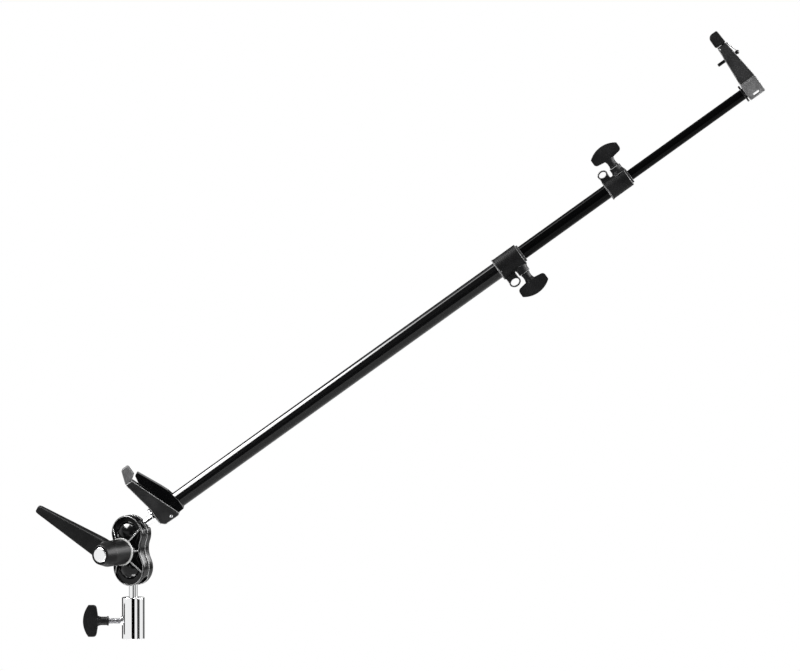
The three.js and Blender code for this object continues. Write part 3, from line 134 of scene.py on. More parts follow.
class SocketSizes(bpy.types.PropertyGroup):
    """Stand socket, its post and the ball size."""

    diameter: length("Socket diameter", "Outside of the chrome sleeve", 0.032)
    height: length("Socket height", "Height of the chrome sleeve", 0.059)
    bore: length("Bore", "Bore that takes the stand's spigot", 0.0164)
    bore_depth: length("Bore depth", "Depth of the spigot bore", 0.044)
    edge: length("Edge", "Rounding of the sleeve's edges", 0.0012)
    post: length("Post diameter", "Round post that carries a ball", 0.012)
    post_seat: length("Post seat", "Depth of the post in the socket", 0.012)
    ball: length("Ball diameter", "Diameter of both balls", 0.028)
    boss: length("Boss radius", "Radius of the tapped side boss", 0.0065)
    boss_rise: length("Boss rise", "Height of the side boss", 0.0015)


class HandleSizes(bpy.types.PropertyGroup):
    """T-handles and their threaded studs."""

    stud: length("Stud diameter", "Outside of the thread", 0.008)
    pitch: length("Thread pitch", "Rise of the thread in one turn", 0.00125)
    thread_depth: length("Thread depth", "Depth of the thread", 0.0007)
    stem: length("Stem radius", "Radius of the moulded stem", 0.006)
    half_span: length("Half span", "Half the width over the wings", 0.022)
    flare: length("Flare", "Rise of the wings' underside", 0.0025)
    end_height: length("End height", "Height of a wing's end face", 0.011)
    crown: length("Crown", "Rise of the crowned top", 0.0076)
    width: length("Wing width", "Thickness of the wings", 0.015)
    grip: length("Grip", "Length of the stud in the moulding", 0.014)


class TubeSizes(bpy.types.PropertyGroup):
    """Telescopic tubes, as outside diameters, and their wall."""

    wall: length("Wall", "Wall of every tube", 0.0015)
    lower: length("Lower diameter", "Outside of the lower tube", 0.024)
    middle: length("Middle diameter", "Outside of the middle tube", 0.020)
    upper: length("Upper diameter", "Outside of the upper tube", 0.015)
    rim: length("Rim", "Rounding of a tube's cut ends", 0.0003)


class HeadSizes(bpy.types.PropertyGroup):
    """Cast half shells of the double ball head and the clamp lever."""

    lobe: length("Lobe radius", "Radius of the shells over a ball", 0.0258)
    waist: length("Waist", "Half width between the balls", 0.0205)
    split: length("Split", "Gap between the two shells", 0.0024)
    wall_height: length("Wall height", "Straight part of a shell's side", 0.0093)
    rounding: length("Rounding", "Rounding of a shell's side into its rim", 0.003)
    rim: length("Rim", "Width of the rim round the ribbed floor", 0.0018)
    floor: length("Floor", "Level of the sunk floor above the split", 0.009)
    rib: length("Rib width", "Thickness of the radial ribs", 0.002)
    front_boss_radius: length("Front boss radius", "Radius of the front boss", 0.016)
    rear_boss_radius: length("Rear boss radius", "Radius of the rear boss", 0.0125)
    cup_wall: length("Cup wall", "Wall of the cups over the balls", 0.005)
    front_boss: length("Front boss", "Height of the front boss", 0.0275)
    rear_boss: length("Rear boss", "Height of the rear boss", 0.020)
    washer: length("Washer radius", "Radius of the nylon thrust washer", 0.0195)
    hub: length("Hub radius", "Radius of the lever's hub", 0.018)
    hub_length: length("Hub length", "Length of the lever's hub", 0.0527)
    lever_length: length("Lever length", "From the bolt to the lever's tip", 0.122)
    ribs: IntProperty(name="Ribs", description="Radial ribs of one shell", default=6, min=0)


class LowerClipSizes(bpy.types.PropertyGroup):
    """Lower clip, as stations along the arm and heights above its axis."""

    flange_station: length("Flange station", "Where the post's flange starts", 0.037)
    flange_thickness: length("Flange thickness", "Thickness of the post's flange", 0.004)
    flange: length("Flange diameter", "Diameter of the post's flange", 0.027)
    width: length("Width", "Width over the two cheeks", 0.038)
    cheek: length("Cheek", "Thickness of a cheek", 0.0026)
    front: length("Front", "Station of the cheeks' lower front corner", 0.073)
    bottom: length("Bottom", "Depth of the cheeks below the axis", 0.0176)
    heel: length("Heel", "Depth of the back edge below the axis", 0.012)
    seat: length("Seat", "Height where the back edge starts to lean", 0.014)
    top: length("Top", "Height of the cheeks", 0.060)
    top_back: length("Top back", "Back end of the top", 0.0334)
    top_front: length("Top front", "Front end of the top", 0.0445)
    web: length("Web", "Thickness of the back web", 0.006)
    hinge_station: length("Hinge station", "Station of the jaw's pin", 0.060)
    hinge_drop: length("Hinge drop", "Depth of the pin below the axis", 0.0126)
    hinge: length("Hinge diameter", "Diameter of the jaw's pin", 0.003)
    tip_height: length("Tip height", "Height of the rubber tip", 0.020)
    tip_length: length("Tip length", "Length of the tip's top", 0.011)
    tip_bulge: length("Tip bulge", "Overhang of the tip's front", 0.007)
    jaw_sheet: length("Jaw sheet", "Wall of the jaw's channel", 0.0022)
    jaw_lip: length("Jaw lip", "Station of the jaw's thumb lip", 0.0815)
    jaw_rise: length("Jaw rise", "Height of the jaw over the cheeks", 0.005)
    jaw_top: length("Jaw top", "Station of the jaw's top edge", 0.057)
    jaw_shoulder: length("Jaw shoulder", "Station of the jaw's shoulder", 0.073)


class CollarSizes(bpy.types.PropertyGroup):
    """Clamp collars of the telescopic joints."""

    boss: length("Boss radius", "Radius of the stud's boss", 0.0085)
    boss_rise: length("Boss rise", "Height of the boss above the collar", 0.009)
    lip: length("Lip", "Width of the raised ring at the collar's end", 0.0016)
    stud_hole: length("Stud hole", "Diameter of the tapped hole", 0.008)
    eyelet: length("Eyelet thickness", "Thickness of the eyelet's lug", 0.004)
    eyelet_wall: length("Eyelet wall", "Metal round the eyelet's hole", 0.0024)
    bush_wall: length("Bush wall", "Wall of the guide bush", 0.0017)
    bush_flange: length("Bush flange", "Flange of the guide bush", 0.0024)
    pad: length("Brake pad", "Thickness of the brake pad", 0.0015)


class UpperClipSizes(bpy.types.PropertyGroup):
    """End block and upper clip, as stations along the arm and heights above its axis."""

    start: length("Start", "Station of the end block's face", 1.058)
    block_length: length("Block length", "Length of the end block", 0.025)
    block_top: length("Block top", "Height of the block", 0.012)
    block_depth: length("Block depth", "Depth of the block", 0.013)
    block_width: length("Block width", "Width of the block", 0.030)
    flange: length("Flange", "Thickness of the flange ring", 0.0024)
    slot_length: length("Slot length", "Length of the cross slot", 0.0105)
    slot_height: length("Slot height", "Height of the cross slot", 0.004)
    slot_wall: length("Slot wall", "Wall round the cross slot", 0.0022)
    top: length("Top", "Height of the clip's body", 0.073)
    back_shift: length("Back lean", "How far the back face leans in", 0.0043)
    front_shift: length("Front lean", "How far the front face leans in", 0.0063)
    width: length("Width", "Width at the foot", 0.028)
    top_width: length("Top width", "Width at the top", 0.024)
    tip_height: length("Cap height", "Height of the cap", 0.0195)
    tip_overhang: length("Cap overhang", "Overhang of the cap's back", 0.002)
    groove: length("Groove", "Gap between body and cap", 0.0012)
    flap: length("Flap thickness", "Thickness of the sprung flap", 0.0034)
    flap_width: length("Flap width", "Width of the flap", 0.016)
    flap_pin: length("Flap pin", "Diameter of the flap's pin", 0.002)
    plunger_height: length("Plunger height", "Height of the plunger's axis", 0.0528)
    plunger: length("Plunger diameter", "Diameter of the plunger", 0.0046)
    plunger_reach: length("Plunger reach", "How far the plunger stands out", 0.012)
    ball: length("Plunger ball", "Diameter of the plunger's ball", 0.006)
    tail: length("Plunger tail", "Where the ball sits beyond the front face", 0.0032)
    leaf: length("Leaf thickness", "Thickness of the leaf spring", 0.0008)
    leaf_width: length("Leaf width", "Width of the leaf spring", 0.006)
    screw: length("Screw diameter", "Diameter of the joining screw", 0.005)
    screw_length: length("Screw length", "Length of the joining screw", 0.014)


class FinishColours(bpy.types.PropertyGroup):
    """Base colours of the finishes."""

    chrome: colour("Chrome", "Bright plate", (0.86, 0.865, 0.87))
    steel: colour("Steel", "Plain steel", (0.60, 0.61, 0.62))
    screw: colour("Screws", "Dull zinc plate", (0.30, 0.30, 0.31))
    brass: colour("Brass", "Machined brass", (0.69, 0.53, 0.25))
    enamel: colour("Enamel", "Gloss black enamel on castings", (0.004, 0.004, 0.0043))
    moulding: colour("Moulding", "Satin black moulding", (0.010, 0.010, 0.0104))
    casting: colour("Collars", "Satin black of the collars", (0.009, 0.009, 0.0094))
    tube: colour("Tube", "Black anodising of the lower tube", (0.005, 0.005, 0.0053))
    inner_tube: colour("Inner tubes", "Black anodising of the inner tubes", (0.002, 0.002, 0.0022))
    powder: colour("Powder coat", "Dark grey coat of the clips", (0.024, 0.024, 0.0246))
    # Light grey painted on the edges of the enamel, powder coat and collar casting: painted highlight lines
    # where light would catch those edges.
    edge_highlight_and_wear: colour("Painted edge highlights", "Light grey painted on edges as highlight lines", (0.62, 0.62, 0.62))
    pad: colour("Pad", "Grey rubber tip", (0.13, 0.13, 0.132))
    cast: colour("Cast", "Grey end block", (0.15, 0.15, 0.152))
    nylon: colour("Nylon", "White thrust washer", (0.80, 0.80, 0.79))


def sizes_of(group):
    return getattr(bpy.context.scene, "reflector_arm_" + group)


# Outlines are lists of (x, y) points; a corner may carry its own rounding as a third value
FLAT_CORNER = math.radians(88)
# An arc uses at most this share of the lines on both its sides
LARGEST_REACH = 0.49
# Distance of a supporting point from its corner
SUPPORT = 0.0003
SHORTEST_SUPPORTED = 8 * SUPPORT
# Voxel size of a cast or moulded piece's skin, and how many rounds it is smoothed
HANDLE_SKIN = (0.00035, 5)
SKINS = {
    "head_shell_front": (0.0005, 4), "head_shell_rear": (0.0005, 4), "clamp_lever": (0.0005, 5),
    "lower_clip_body": (0.00048, 3), "lower_clip_tip": (0.0004, 5), "lower_clip_jaw": (0.00045, 3),
    "lower_collar": (0.0004, 4), "upper_collar": (0.0004, 4), "end_block": (0.0004, 3),
    "upper_clip_body": (0.0004, 3), "upper_clip_tip": (0.0004, 4),
}
# The materials by short name, filled by make_finishes
FINISHES = {}


def rounded(points, radius=0.0):
    """The closed outline with its corners turned into arcs."""
    outline = []
    for i, point in enumerate(points):
        here = Vector(point[:2])
        before = Vector(points[i - 1][:2]) - here
        after = Vector(points[(i + 1) % len(points)][:2]) - here
        wanted = point[2] if len(point) > 2 else radius
        half = before.angle(after) / 2
        if wanted <= 0 or half > FLAT_CORNER:
            outline.append(here)
            continue
        reach = min(wanted / math.tan(half), LARGEST_REACH * before.length, LARGEST_REACH * after.length)
        fillet = reach * math.tan(half)
        middle = here + (before.normalized() + after.normalized()).normalized() * (fillet / math.sin(half))
        start = here + before.normalized() * reach - middle
        end = here + after.normalized() * reach - middle
        sweep = math.pi - 2 * half
        steps = max(2, math.ceil(sweep / ARC_STEP))
        if start.x * end.y - start.y * end.x < 0:
            sweep = -sweep
        for k in range(steps + 1):
            turn = Matrix.Rotation(sweep * k / steps, 2)
            outline.append(middle + turn @ start)
    return outline


def arc(centre, radius, start, end, steps):
    """Points of an arc about a centre, both ends included."""
    angles = (start + (end - start) * k / steps for k in range(steps + 1))
    return [Vector((centre[0] + radius * math.cos(a), centre[1] + radius * math.sin(a))) for a in angles]


def object_from(name, mesh_data):
    mesh = bpy.data.meshes.new(name)
    bmesh.ops.remove_doubles(mesh_data, verts=mesh_data.verts, dist=WELD)
    bmesh.ops.recalc_face_normals(mesh_data, faces=mesh_data.faces)
    mesh_data.to_mesh(mesh)
    mesh_data.free()
    piece = bpy.data.objects.new(name, mesh)
    bpy.context.scene.collection.objects.link(piece)
    return piece


def supported(profile):
    """The profile with points beside the ends of its long lines, so that shading turns only at corners."""
    points = []
    for start, end in zip(profile, profile[1:] + profile[:1]):
        start, end = Vector(start[:2]), Vector(end[:2])
        points.append(tuple(start))
        run = (end - start).length
        if run > SHORTEST_SUPPORTED:
            points.extend(tuple(start.lerp(end, share)) for share in (SUPPORT / run, 1 - SUPPORT / run))
    return points


def turned(name, profile, facets=FINE):
    """A closed profile of (radius, height) points turned about Z."""
    mesh = bmesh.new()
    profile = supported(list(profile))
    angles = [2 * math.pi * i / facets for i in range(facets)]
    ways = [(math.cos(a), math.sin(a)) for a in angles]
    rings = []
    for radius, level in profile:
        if radius < WELD:
            rings.append([mesh.verts.new((0, 0, level))] * facets)
        else:
            rings.append([mesh.verts.new((radius * x, radius * y, level)) for x, y in ways])
    for ring, following in zip(rings, rings[1:] + rings[:1]):
        for i in range(facets):
            j = (i + 1) % facets
            corners = list(dict.fromkeys((ring[i], ring[j], following[j], following[i])))
            if len(corners) > 2:
                mesh.faces.new(corners)
    return object_from(name, mesh)


def lathe(name, points, facets=FINE, edge=0.0):
    """An outline of (radius, height) points, its corners rounded, turned about Z."""
    return turned(name, rounded(points, edge), facets)


def bar(name, radius, start, end, facets=FINE, edge=0.0):
    """A round bar along Z with rounded ends."""
    return lathe(name, [(0, start, 0), (radius, start), (radius, end), (0, end, 0)], facets, edge)


def sleeve(name, inner, outer, start, end, facets=FINE, edge=0.0):
    """A ring along Z with rounded edges."""
    return lathe(name, [(inner, start), (outer, start), (outer, end), (inner, end)], facets, edge)


def loft(name, rings):
    """Rings of equally many points skinned and capped."""
    mesh = bmesh.new()
    loops = [[mesh.verts.new(point) for point in ring] for ring in rings]
    for loop, following in zip(loops, loops[1:]):
        for i in range(len(loop)):
            j = (i + 1) % len(loop)
            mesh.faces.new((loop[i], loop[j], following[j], following[i]))
    mesh.faces.new(list(reversed(loops[0])))
    mesh.faces.new(loops[-1])
    return object_from(name, mesh)


def prism(name, outline, start, end, edge=0.0):
    """An outline raised along Z, with its rims bevelled."""
    piece = loft(name, [[(p[0], p[1], level) for p in outline] for level in (start, end)])
    return bevelled(piece, edge) if edge else piece


def slab(name, outline, width, edge=0.0):
    """A side view of (station, height) points, as wide as given across the arm."""
    piece = prism(name, outline, -width / 2, width / 2, edge)
    piece.data.transform(Matrix.Rotation(math.pi / 2, 4, "X"))
    return piece


def block(name, low, high):
    outline = [(low[0], low[1]), (high[0], low[1]), (high[0], high[1]), (low[0], high[1])]
    return prism(name, outline, low[2], high[2])


def placed(piece, matrix):
    piece.data.transform(matrix)
    return piece


def shifted(piece, x=0.0, z=0.0):
    return placed(piece, Matrix.Translation((x, 0, z)))


def along_arm(piece):
    """Lays a piece made along Z along the arm's X."""
    return placed(piece, Matrix.Rotation(math.pi / 2, 4, "Y"))


def across_arm(piece, station, height):
    turn = Matrix.Rotation(-math.pi / 2, 4, "X")
    return placed(piece, Matrix.Translation((station, 0, height)) @ turn)


def evaluated(piece):
    """The piece with its modifiers applied."""
    graph = bpy.context.evaluated_depsgraph_get()
    mesh = bpy.data.meshes.new_from_object(piece.evaluated_get(graph))
    piece.modifiers.clear()
    old = piece.data
    piece.data = mesh
    bpy.data.meshes.remove(old)
    return piece


def bevelled(piece, width):
    bevel = piece.modifiers.new("Edges", "BEVEL")
    bevel.width = width
    bevel.segments = BEVEL_SEGMENTS
    bevel.limit_method = "ANGLE"
    bevel.angle_limit = SHARP_ANGLE
    bevel.use_clamp_overlap = True
    return evaluated(piece)


def combined(piece, others, operation):
    for other in others:
        step = piece.modifiers.new("Join", "BOOLEAN")
        step.operation = operation
        step.solver = "MANIFOLD"
        step.object = other
    evaluated(piece)
    for other in others:
        bpy.data.objects.remove(other)
    return piece


def joined(piece, *others):
    return combined(piece, others, "UNION")


def cut(piece, *others):
    return combined(piece, others, "DIFFERENCE")


def common(piece, *others):
    return combined(piece, others, "INTERSECT")


def softened(piece, voxel, rounds):
    """The edges of a casting or moulding, run soft over the whole skin."""
    skin = piece.modifiers.new("Skin", "REMESH")
    skin.mode = "VOXEL"
    skin.voxel_size = voxel
    soft = piece.modifiers.new("Soft", "SMOOTH")
    soft.factor = 0.5
    soft.iterations = rounds
    return evaluated(piece)


NODE_BODY = {node: body for body, nodes in frame["record"]["behaviour"]["bodies"].items() for node in nodes}


def settled(piece, node, finish, matrix=ARM, sharp=SHARP_ANGLE):
    """Puts a finished piece in place of its plain solid."""
    piece.data.transform(matrix)
    piece.data.polygons.foreach_set("use_smooth", [True] * len(piece.data.polygons))
    piece.data.set_sharp_from_angle(angle=sharp)
    piece.data.materials.clear()
    piece.data.materials.append(FINISHES[finish])
    piece.name = node + "_finished"
    piece.data.name = piece.name
    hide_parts(node)
    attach(piece, NODE_BODY[node])
    return piece


def soft_settled(piece, node, finish, matrix=ARM):
    """Settles a casting or moulding with its own soft skin and no sharp edge."""
    return settled(softened(piece, *SKINS[node]), node, finish, matrix, NEVER_SHARP)


# Shader node groups shared by the finishes
DRIFT_AMOUNT = 0.3


def plug_in(tree, value, socket):
    """Links a socket where its value comes from another node, and sets it otherwise."""
    if isinstance(value, bpy.types.NodeSocket):
        tree.links.new(value, socket)
    else:
        socket.default_value = value


def node_in(tree, kind, inputs=(), **settings):
    """A node with its settings, and with its inputs given as a table of sockets and values."""
    node = tree.nodes.new(kind)
    for key, value in settings.items():
        setattr(node, key, value)
    for socket, value in dict(inputs).items():
        plug_in(tree, value, node.inputs[socket])
    return node


def float_sockets(tree, inputs, outputs=()):
    for socket, default in inputs:
        item = tree.interface.new_socket(socket, in_out="INPUT", socket_type="NodeSocketFloat")
        item.default_value = default
    for socket in outputs:
        tree.interface.new_socket(socket, in_out="OUTPUT", socket_type="NodeSocketFloat")


def shader_group(name, inputs, outputs):
    """An empty group with float inputs (name, default) and float outputs, and its two end nodes."""
    group = bpy.data.node_groups.new(name, "ShaderNodeTree")
    float_sockets(group, inputs, outputs)
    return group, group.nodes.new("NodeGroupInput"), group.nodes.new("NodeGroupOutput")


def math_in(tree, operation, first, second=0.0, third=0.0):
    inputs = {0: first, 1: second, 2: third}
    return node_in(tree, "ShaderNodeMath", inputs, operation=operation).outputs["Value"]


def ramp_in(tree, value, low, high, to_low=0.0, to_high=1.0):
    """A value mapped smoothly from one range to another."""
    inputs = {"Value": value, "From Min": low, "From Max": high, "To Min": to_low, "To Max": to_high}
    return node_in(tree, "ShaderNodeMapRange", inputs, interpolation_type="SMOOTHSTEP").outputs["Result"]


def noise_in(tree, vector, scale, detail):
    inputs = {"Vector": vector, "Scale": scale, "Detail": detail, "Roughness": 0.55}
    return node_in(tree, "ShaderNodeTexNoise", inputs).outputs["Fac"]


def vector_in(tree, **parts):
    return node_in(tree, "ShaderNodeCombineXYZ", parts).outputs["Vector"]


def surface_place(tree):
    return node_in(tree, "ShaderNodeTexCoord").outputs["Object"]


def grain_group():
    """Fine skin of a casting or a moulding, with a slow drift over the surface."""
    inputs = [("Grain Scale", 2200.0), ("Drift Scale", 40.0), ("Drift", DRIFT_AMOUNT)]
    group, given, result = shader_group("Skin grain", inputs, ["Height", "Drift"])
    place = surface_place(group)
    grain = given.outputs["Grain Scale"]
    fine = noise_in(group, place, grain, 2.0)
    cells = node_in(group, "ShaderNodeTexVoronoi", {"Vector": place, "Scale": grain}, feature="SMOOTH_F1")
    height = math_in(group, "MULTIPLY_ADD", cells.outputs["Distance"], 0.6, fine)
    slow = ramp_in(group, noise_in(group, place, given.outputs["Drift Scale"], 4.0), 0.3, 0.7, -1.0, 1.0)
    group.links.new(height, result.inputs["Height"])
    group.links.new(math_in(group, "MULTIPLY", slow, given.outputs["Drift"]), result.inputs["Drift"])
    return group


def wear_and_highlight_group():
    """Raised edges, broken up by noise: scuffed edges, and highlight lines painted light along edges."""
    # Start and Full are set narrow, so that the mask picks thin lines along edges for the painted highlights.
    inputs = [("Start", 0.511), ("Full", 0.531), ("Breakup Scale", 300.0), ("Amount", 1.0)]
    group, given, result = shader_group("Edge wear", inputs, ["Wear"])
    raised = node_in(group, "ShaderNodeNewGeometry").outputs["Pointiness"]
    edges = ramp_in(group, raised, given.outputs["Start"], given.outputs["Full"])
    patches = noise_in(group, surface_place(group), given.outputs["Breakup Scale"], 5.0)
    edge_highlight_and_wear = math_in(group, "MULTIPLY", edges, ramp_in(group, patches, 0.3, 0.5))
    group.links.new(math_in(group, "MULTIPLY", edge_highlight_and_wear, given.outputs["Amount"]), result.inputs["Wear"])
    return group


def drawn_group():
    """Fine lines that drawing or turning leaves, much longer one way than the other."""
    group, given, result = shader_group("Drawn lines", [("Scale", 900.0), ("Stretch", 60.0)], ["Lines"])
    group.interface.new_socket("Vector", in_out="INPUT", socket_type="NodeSocketVector")
    squeeze = vector_in(group, X=math_in(group, "DIVIDE", 1.0, given.outputs["Stretch"]), Y=1.0, Z=1.0)
    inputs = {0: given.outputs["Vector"], 1: squeeze}
    stretched = node_in(group, "ShaderNodeVectorMath", inputs, operation="MULTIPLY").outputs["Vector"]
    group.links.new(noise_in(group, stretched, given.outputs["Scale"], 3.0), result.inputs["Lines"])
    return group


GROUP_MAKERS = {"grain": grain_group, "wear": wear_and_highlight_group, "drawn": drawn_group}
BUILT = {}


def built(makers, name):
    """A node tree by its short name, made when it is first asked for."""
    if name not in BUILT:
        BUILT[name] = makers[name]()
    return BUILT[name]


def titled(settings):
    return {key.replace("_", " ").title(): value for key, value in settings.items()}


def group_in(tree, name, **settings):
    return node_in(tree, "ShaderNodeGroup", node_tree=built(GROUP_MAKERS, name), inputs=titled(settings))


def new_material(name, base, roughness, metallic=0.0, specular=0.5):
    material = bpy.data.materials.new(name)
    material.use_nodes = True
    tree = material.node_tree
    shader = next(node for node in tree.nodes if node.type == "BSDF_PRINCIPLED")
    shader.inputs["Base Color"].default_value = (*base, 1.0)
    shader.inputs["Roughness"].default_value = roughness
    shader.inputs["Metallic"].default_value = metallic
    shader.inputs["Specular IOR Level"].default_value = specular
    return material, tree, shader


def bump_in(tree, shader, height, strength, distance):
    bump = node_in(tree, "ShaderNodeBump", {"Strength": strength, "Distance": distance, "Height": height})
    tree.links.new(bump.outputs["Normal"], shader.inputs["Normal"])


def colours_mixed(tree, mask, first, second):
    """Two colours mixed by a mask; the first may come from another node."""
    inputs = {"Factor": mask, "A": first, "B": second}
    return node_in(tree, "ShaderNodeMix", inputs, data_type="RGBA").outputs["Result"]


def scaled(tone, factor):
    return (*(min(1.0, channel * factor) for channel in tone), 1.0)


def drifting(tree, skin, base, darkest, lightest):
    """A base colour that drifts slowly between two scales of itself."""
    drift = ramp_in(tree, skin.outputs["Drift"], -DRIFT_AMOUNT, DRIFT_AMOUNT)
    return colours_mixed(tree, drift, scaled(base, darkest), scaled(base, lightest))


def coated(
    name, base, roughness, grain=2200.0, depth=0.00004, spread=0.05, edge_highlight_and_wear=None, wear=0.6, specular=0.5
):
    """Enamel, powder coat or a moulding: a fine skin, a slow drift in gloss, and lighter edges that are
    partly scuffing and partly painted highlight lines.
    """
    material, tree, shader = new_material(name, base, roughness, specular=specular)
    skin = group_in(tree, "grain", grain_scale=grain)
    edge_highlight_and_wear_mask = group_in(tree, "wear", amount=wear).outputs["Wear"]
    gloss = math_in(tree, "MULTIPLY_ADD", skin.outputs["Drift"], spread / DRIFT_AMOUNT, roughness)
    tree.links.new(gloss, shader.inputs["Roughness"])
    # Edges take the given edge colour, which on enamel, powder coat and collar casting is light grey painted
    # as highlight lines; otherwise a lighter copy of the base, as scuffing.
    edge_highlight_and_wear_tone = (*edge_highlight_and_wear, 1.0) if edge_highlight_and_wear else scaled(base, 4.0)
    tone = colours_mixed(tree, edge_highlight_and_wear_mask, drifting(tree, skin, base, 0.8, 1.25), edge_highlight_and_wear_tone)
    tree.links.new(tone, shader.inputs["Base Color"])
    bump_in(tree, shader, skin.outputs["Height"], 0.6, depth)
    return material


def lined(name, base, roughness, turn, grain, marks, drift, tones, bump, lines, **settings):
    """Drawn or turned metal: long faint lines along X once turned, and a slow drift in its polish."""
    material, tree, shader = new_material(name, base, roughness, **settings)
    skin = group_in(tree, "grain", grain_scale=grain)
    place = node_in(tree, "ShaderNodeMapping", {"Vector": surface_place(tree), "Rotation": turn})
    streaks = group_in(tree, "drawn", vector=place.outputs["Vector"], **lines).outputs["Lines"]
    streaked = math_in(tree, "MULTIPLY_ADD", ramp_in(tree, streaks, 0.35, 0.65, -1.0, 1.0), marks, roughness)
    gloss = math_in(tree, "MULTIPLY_ADD", skin.outputs["Drift"], drift, streaked)
    tree.links.new(gloss, shader.inputs["Roughness"])
    tone = colours_mixed(tree, streaks, *(scaled(base, factor) for factor in tones))
    tree.links.new(tone, shader.inputs["Base Color"])
    bump_in(tree, shader, streaks, *bump)
    return material


def bare_metal(name, base, roughness, turn, depth=0.00001, spread=0.12, scale=1500.0):
    """Plate, steel or brass."""
    return lined(
        name, base, roughness, turn, grain=1200.0, marks=spread / 2, drift=spread, tones=(0.94, 1.04),
        bump=(0.4, depth), lines={"scale": scale}, metallic=1.0,
    )


def anodised(name, base, roughness, specular):
    """Drawn tube under a deep black oxide, with a hard shine."""
    return lined(
        name, base, roughness, ARM_TURN, grain=1500.0, marks=0.02, drift=0.06, tones=(0.75, 1.3),
        bump=(0.2, 0.0000015), lines={"scale": 3200.0, "stretch": 160.0}, specular=specular,
    )


# Geometry node trees: thread, wound spring and the bars that stand as ribs across a shell.
# A thread's section is this share of its pitch to each side
THREAD_FILL = 0.48


def geometry_tree(name, inputs):
    """An empty tree with float inputs (name, default), a material input and a geometry output."""
    tree = bpy.data.node_groups.new(name, "GeometryNodeTree")
    float_sockets(tree, inputs)
    tree.interface.new_socket("Material", in_out="INPUT", socket_type="NodeSocketMaterial")
    tree.interface.new_socket("Geometry", in_out="OUTPUT", socket_type="NodeSocketGeometry")
    return tree, node_in(tree, "NodeGroupInput"), node_in(tree, "NodeGroupOutput")


def finished_tree(tree, given, result, parts):
    join = node_in(tree, "GeometryNodeJoinGeometry")
    for part in reversed(parts):
        tree.links.new(part, join.inputs["Geometry"])
    real = node_in(tree, "GeometryNodeRealizeInstances", {"Geometry": join.outputs["Geometry"]})
    inputs = {"Geometry": real.outputs["Geometry"], "Material": given.outputs["Material"]}
    paint = node_in(tree, "GeometryNodeSetMaterial", inputs)
    tree.links.new(paint.outputs["Geometry"], result.inputs["Geometry"])
    return tree


def raised_in(tree, geometry, height):
    inputs = {"Geometry": geometry, "Translation": vector_in(tree, Z=height)}
    return node_in(tree, "GeometryNodeTransform", inputs).outputs["Geometry"]


def helix_in(tree, radius, rise, turns, steps, section_radius, section_sides):
    """A closed tube wound about +Z from the origin, its section kept upright."""
    radii = {"Start Radius": radius, "End Radius": radius}
    path = radii | {"Resolution": steps, "Rotations": turns, "Height": rise}
    spiral = node_in(tree, "GeometryNodeCurveSpiral", path).outputs["Curve"]
    upright = node_in(tree, "GeometryNodeSetCurveNormal", {"Curve": spiral}, mode="Z_UP").outputs["Curve"]
    section = {"Resolution": section_sides, "Radius": section_radius}
    ring = node_in(tree, "GeometryNodeCurvePrimitiveCircle", section).outputs["Curve"]
    skin = {"Curve": upright, "Profile Curve": ring, "Fill Caps": True}
    return node_in(tree, "GeometryNodeCurveToMesh", skin).outputs["Mesh"]


def thread_tree():
    """A threaded rod along +Z: its core with plain ends and one thread wound on it."""
    inputs = [("Radius", 0.004), ("Pitch", 0.00125), ("Depth", 0.0007), ("Length", 0.03)]
    tree, given, result = geometry_tree("Threaded rod", inputs)
    radius, pitch, depth, rod_length = (given.outputs[name] for name, _ in inputs)
    rod = {"Vertices": SMALL, "Radius": math_in(tree, "SUBTRACT", radius, depth), "Depth": rod_length}
    core = node_in(tree, "GeometryNodeMeshCylinder", rod).outputs["Mesh"]
    raised = raised_in(tree, core, math_in(tree, "DIVIDE", rod_length, 2.0))
    half = math_in(tree, "MULTIPLY", pitch, THREAD_FILL)
    run = math_in(tree, "SUBTRACT", rod_length, math_in(tree, "MULTIPLY", pitch, 2.0))
    turns = math_in(tree, "DIVIDE", run, pitch)
    wound = helix_in(tree, math_in(tree, "SUBTRACT", radius, half), run, turns, SMALL // 2, half, 4)
    return finished_tree(tree, given, result, [raised, raised_in(tree, wound, pitch)])


def coil_tree():
    """A round wire wound about +Z, as a spring."""
    inputs = [("Mean Radius", 0.006), ("Wire", 0.0016), ("Length", 0.016), ("Turns", 4.0)]
    tree, given, result = geometry_tree("Wound wire", inputs)
    radius, wire, whole, turns = (given.outputs[name] for name, _ in inputs)
    half = math_in(tree, "DIVIDE", wire, 2.0)
    wound = helix_in(tree, radius, math_in(tree, "SUBTRACT", whole, wire), turns, SMALL, half, 12)
    return finished_tree(tree, given, result, [raised_in(tree, wound, half)])


def ribs_tree():
    """Upright bars through the origin, each turned by the same angle from the last."""
    inputs = [("Bars", 3.0), ("Angle", 0.9), ("Span", 0.1), ("Width", 0.002), ("Foot", 0.0), ("Top", 0.01)]
    tree, given, result = geometry_tree("Crossed ribs", inputs)
    bars, angle, span, width, foot, top = (given.outputs[name] for name, _ in inputs)
    count = node_in(tree, "FunctionNodeFloatToInt", {"Float": bars}).outputs["Integer"]
    line = node_in(tree, "GeometryNodeMeshLine", {"Count": count, "Offset": (0.0, 0.0, 0.0)})
    size = vector_in(tree, X=span, Y=width, Z=math_in(tree, "SUBTRACT", top, foot))
    rib = node_in(tree, "GeometryNodeMeshCube", {"Size": size}).outputs["Mesh"]
    index = node_in(tree, "GeometryNodeInputIndex").outputs["Index"]
    last = math_in(tree, "SUBTRACT", bars, 1.0)
    centred = math_in(tree, "SUBTRACT", index, math_in(tree, "DIVIDE", last, 2.0))
    turn = vector_in(tree, Z=math_in(tree, "MULTIPLY", centred, angle))
    inputs = {"Points": line.outputs["Mesh"], "Instance": rib, "Rotation": turn}
    spread = node_in(tree, "GeometryNodeInstanceOnPoints", inputs).outputs["Instances"]
    middle = math_in(tree, "DIVIDE", math_in(tree, "ADD", top, foot), 2.0)
    return finished_tree(tree, given, result, [raised_in(tree, spread, middle)])


TREE_MAKERS = {"thread": thread_tree, "coil": coil_tree, "ribs": ribs_tree}


